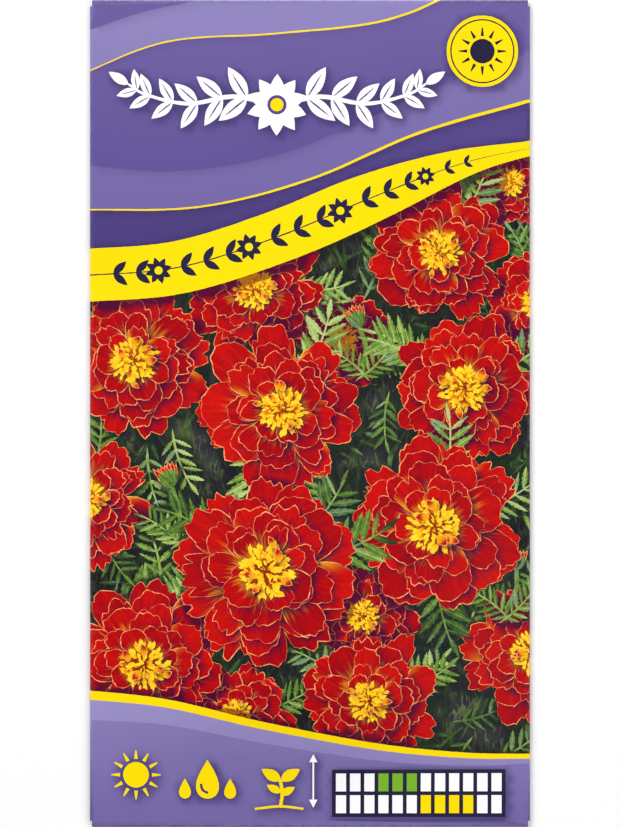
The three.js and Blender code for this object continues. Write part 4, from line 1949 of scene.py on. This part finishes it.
@dataclass(frozen=True)
class SeedHeap:
    """The loose seeds: ribbed dark slips, each with a tuft of pale bristles, made by one tree of nodes."""

    folding: Folding
    coat: SeedCoat
    straw: Fibrous
    radius: float = 0.42
    body_share: float = 0.68
    sides: int = 15
    rows: int = 16
    ribs: int = 5
    rib_height: float = 0.14
    bristles: int = 11
    tuft_radius: float = 0.13
    bristle_radius: float = 0.045
    bristle_tip: float = 0.008
    flare: float = 0.1
    profile: tuple[Point, ...] = (
        (0.0, 0.12), (0.1, 0.5), (0.3, 0.9), (0.52, 1.0), (0.8, 0.82), (0.96, 0.5), (1.0, 0.42),
    )

    def build(self) -> Object:
        """Builds all the seeds as one mesh.

        Returns:
            The finished object.
        """
        seeds = self.folding.seeds
        holder = add_mesh("seed_places", np.array([seed.middle for seed in seeds]))
        store(holder.data, "along", "POINT", np.array([seed.along for seed in seeds]))
        modifier = holder.modifiers.new("seeds", "NODES")
        modifier.node_group = self.tree()
        for item in modifier.node_group.interface.items_tree:
            if item.name in self.inputs:
                modifier[item.identifier] = self.inputs[item.name]
        made = bpy.data.meshes.new_from_object(holder.evaluated_get(bpy.context.evaluated_depsgraph_get()))
        bpy.data.objects.remove(holder)
        made.name = "seeds"
        made.materials.pop(index=0)  # an empty slot that the nodes leave
        return add_object("seeds", made)

    @cached_property
    def inputs(self) -> dict[str, object]:
        """What the tree takes."""
        length = float(np.mean([seed.length for seed in self.folding.seeds]))
        return {
            "Length": length * MM, "Radius": self.radius * MM, "Ribs": self.ribs, "Bristles": self.bristles,
            "Coat": self.coat.material, "Straw": self.straw.material,
        }

    def tree(self) -> bpy.types.NodeTree:
        """Builds the tree that makes a seed and puts a copy on each point, along the point's direction."""
        tree = bpy.data.node_groups.new("seed_on_point", "GeometryNodeTree")
        kinds = {float: "NodeSocketFloat", int: "NodeSocketInt"}
        tree.interface.new_socket("Points", in_out="INPUT", socket_type="NodeSocketGeometry")
        for name, value in self.inputs.items():
            kind = kinds.get(type(value), "NodeSocketMaterial")
            tree.interface.new_socket(name, in_out="INPUT", socket_type=kind)
        tree.interface.new_socket("Seeds", in_out="OUTPUT", socket_type="NodeSocketGeometry")
        maker = Maker(tree)
        given = maker.node("NodeGroupInput").outputs
        parts = (self.body(maker, given), self.tuft(maker, given))
        seed = maker.node("GeometryNodeJoinGeometry")
        for part in parts:
            tree.links.new(part, seed.inputs[0])
        along = maker.shape("InputNamedAttribute", {"Name": "along"}, data_type="FLOAT_VECTOR")
        placed = self.copies(maker, given["Points"], seed.outputs[0], along)
        real = maker.shape("RealizeInstances", {"Geometry": placed})
        tree.links.new(real, maker.node("NodeGroupOutput").inputs[0])
        return tree

    @staticmethod
    def copies(maker: Maker, points: Socket, shape: Socket, ahead: Socket) -> Socket:
        """Puts a copy of an upright shape on each point, turned to point ahead."""
        turn = maker.node("FunctionNodeAlignRotationToVector", {"Vector": ahead}, axis="Z").outputs[0]
        return maker.shape("InstanceOnPoints", {"Points": points, "Instance": shape, "Rotation": turn})

    def body(self, maker: Maker, given: bpy.types.NodeOutputs) -> Socket:
        """Makes the ribbed slip, standing on its tip about the origin.

        Args:
            maker: What adds the nodes.
            given: The tree's inputs.

        Returns:
            The slip's geometry.
        """
        sizes = {"Vertices": self.sides, "Side Segments": self.rows, "Radius": 1.0, "Depth": 1.0}
        tube = maker.shape("MeshCylinder", sizes, fill_type="TRIANGLE_FAN")
        x, y, z = maker.parts(maker.shape("InputPosition"))
        share = z + 0.5
        curve = maker.add("FloatCurve", {"Value": share})
        points = curve.mapping.curves[0].points
        points[0].location, points[1].location = self.profile[0], self.profile[-1]
        for stop in self.profile[1:-1]:
            points.new(*stop)
        curve.mapping.update()
        rib = maker.math("COSINE", maker.math("ARCTAN2", y, x) * given["Ribs"])
        wide = (rib * self.rib_height + (1.0 - self.rib_height)) * curve.outputs[0] * given["Radius"]
        height = (share * self.body_share - 0.5) * given["Length"]
        moved = maker.vector(x * wide, y * wide, height)
        shaped = maker.shape("SetPosition", {"Geometry": tube, "Position": moved})
        inputs = {"Geometry": shaped, "Name": "rib", "Value": rib}
        stored = maker.shape("StoreNamedAttribute", inputs, data_type="FLOAT", domain="POINT")
        smooth = maker.shape("SetShadeSmooth", {"Geometry": stored})
        return maker.shape("SetMaterial", {"Geometry": smooth, "Material": given["Coat"]})

    def tuft(self, maker: Maker, given: bpy.types.NodeOutputs) -> Socket:
        """Makes the bristles on top of the slip.

        Args:
            maker: What adds the nodes.
            given: The tree's inputs.

        Returns:
            The bristles' geometry.
        """
        depth = maker.math("MULTIPLY", given["Length"], 0.97 - self.body_share)
        sizes = {
            "Vertices": 4, "Side Segments": 1, "Radius Top": self.bristle_tip * MM,
            "Radius Bottom": self.bristle_radius * MM, "Depth": depth,
        }
        bristle = maker.shape("MeshCone", sizes)
        ring = maker.shape("MeshCircle", {"Vertices": given["Bristles"], "Radius": self.tuft_radius * MM})
        x, y, _ = maker.parts(maker.shape("InputPosition"))
        lean = self.flare / (self.tuft_radius * MM)
        placed = self.copies(maker, ring, bristle, maker.vector(x * lean, y * lean, 1.0))
        foot = maker.math("MULTIPLY", given["Length"], self.body_share - 0.52)
        raised = maker.shape("Transform", {"Geometry": placed, "Translation": maker.vector(0.0, 0.0, foot)})
        real = maker.shape("RealizeInstances", {"Geometry": raised})
        return maker.shape("SetMaterial", {"Geometry": real, "Material": given["Straw"]})


# The stage ------------------------------------------------


@dataclass(frozen=True)
class Stage:
    """The floor, the lights and the camera that looks straight down on the packet.

    Places and sizes are in metres, the lens and its sensor in millimetres.
    """

    folding: Folding
    lens: float = 100.0
    sensor: float = 36.0
    floor_radius: float = 0.55
    lights: tuple[tuple[str, tuple[float, float, float], float, float], ...] = (
        ("key", (-0.8, 0.8, 0.9), 0.9, 19.0),
        ("fill", (0.95, -0.35, 0.85), 1.0, 10.0),
        ("back", (0.15, 1.1, 0.75), 0.8, 6.0),
    )
    glow: float = 0.16

    def build(self) -> None:
        """Builds the stage."""
        self.add_floor()
        for light in self.lights:
            self.add_light(*light)
        self.add_world()
        self.add_camera()

    def add_floor(self) -> None:
        """Lays the pale round floor."""
        corners = np.pad(disc((0, 0), self.floor_radius / MM, 96), ((0, 0), (0, 1)))
        recipe = Recipe("pale_floor")
        shader = recipe.add("BsdfPrincipled", {"Base Color": (0.9, 0.9, 0.9), "Roughness": 0.7})
        recipe.add("OutputMaterial", {0: shader.outputs[0]})
        floor = add_mesh("floor", corners, [range(len(corners))], recipe.material)
        floor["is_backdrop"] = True

    @staticmethod
    def add_light(name: str, place: tuple[float, float, float], size: float, power: float) -> None:
        """Adds a soft light that points at the packet.

        Args:
            name: Its name.
            place: Where it stands.
            size: The side of its square face.
            power: Its power, in watts.
        """
        data = bpy.data.lights.new(name, "AREA")
        data.size, data.energy = size, power
        light = add_object(name, data)
        light.location = place
        light.rotation_euler = (-Vector(place)).to_track_quat("-Z", "Y").to_euler()

    def add_world(self) -> None:
        """Fills the shadows from all round. The camera itself sees plain white."""
        world = bpy.data.worlds.new("soft_room")
        world.use_nodes = True
        background = world.node_tree.nodes["Background"]
        background.inputs[0].default_value = (1.0, 1.0, 1.0, 1.0)
        maker = Maker(world.node_tree)
        seen = maker.add("LightPath").outputs["Is Camera Ray"]
        maker.feed(background.inputs[1], maker.math("MULTIPLY_ADD", seen, 1 - self.glow, self.glow))
        bpy.context.scene.world = world

    def add_camera(self) -> None:
        """Puts the camera over the packet, so that the packet is as high as the picture."""
        data = bpy.data.cameras.new("camera")
        data.lens, data.sensor_width = self.lens, self.sensor
        data.clip_start, data.clip_end = 0.01, 20.0
        camera = add_object("camera", data)
        outline_z = (self.folding.flap_z + self.folding.end_radius) * MM
        camera.location = (0, 0, outline_z + IMAGE_HEIGHT_MM * MM * self.lens / self.sensor)
        bpy.context.scene.camera = camera
        bpy.context.scene.view_settings.view_transform = "Standard"


def hand_over(piece: Object, nodes: Sequence[str]) -> None:
    """Gives a finished piece its place in the packet.

    Args:
        piece: The piece.
        nodes: The solids that it stands for.
    """
    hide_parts(*nodes)
    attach(piece, BODY)
    LOG.info("%s: %d faces for %d solids", piece.name, len(piece.data.polygons), len(nodes))


def main() -> dict[str, list[list[float]]]:
    """Builds the packet and its stage.
    """
    logging.basicConfig(level=logging.INFO, format="%(name)s: %(message)s")
    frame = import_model()
    sizes = {"cad": [list(corner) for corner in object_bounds()]}
    folding = read_folding(frame)
    Stage(folding).build()
    art = Artwork(folding)
    for part in (Picture(art, 11), Header(art), Footer(art), BackPrint(art)):
        part.draw()
    sheet = PrintedSheet(folding, art).build()
    hand_over(sheet, ["folded_sheet"])
    film = Fibrous("dried_glue_film", srgb(236, 230, 212), srgb(214, 204, 176), 420, 0.2, 0.25, 0.3)
    for name in ("seam_glue", "bottom_flap_glue", "top_flap_glue"):
        hand_over(GlueLine(name, folding, film).build(), [name])
    straw = Fibrous("seed_bristles", srgb(222, 202, 158), srgb(186, 152, 96), 5200, 0.55, relief=0.2)
    seeds = SeedHeap(folding, SeedCoat("seed_skin"), straw).build()
    hand_over(seeds, [name for name in frame["nodes"] if name.startswith("seed_")])
    return sizes


if __name__ == "__main__":
    boxes = main()
    boxes["visual"] = [list(corner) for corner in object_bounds()]
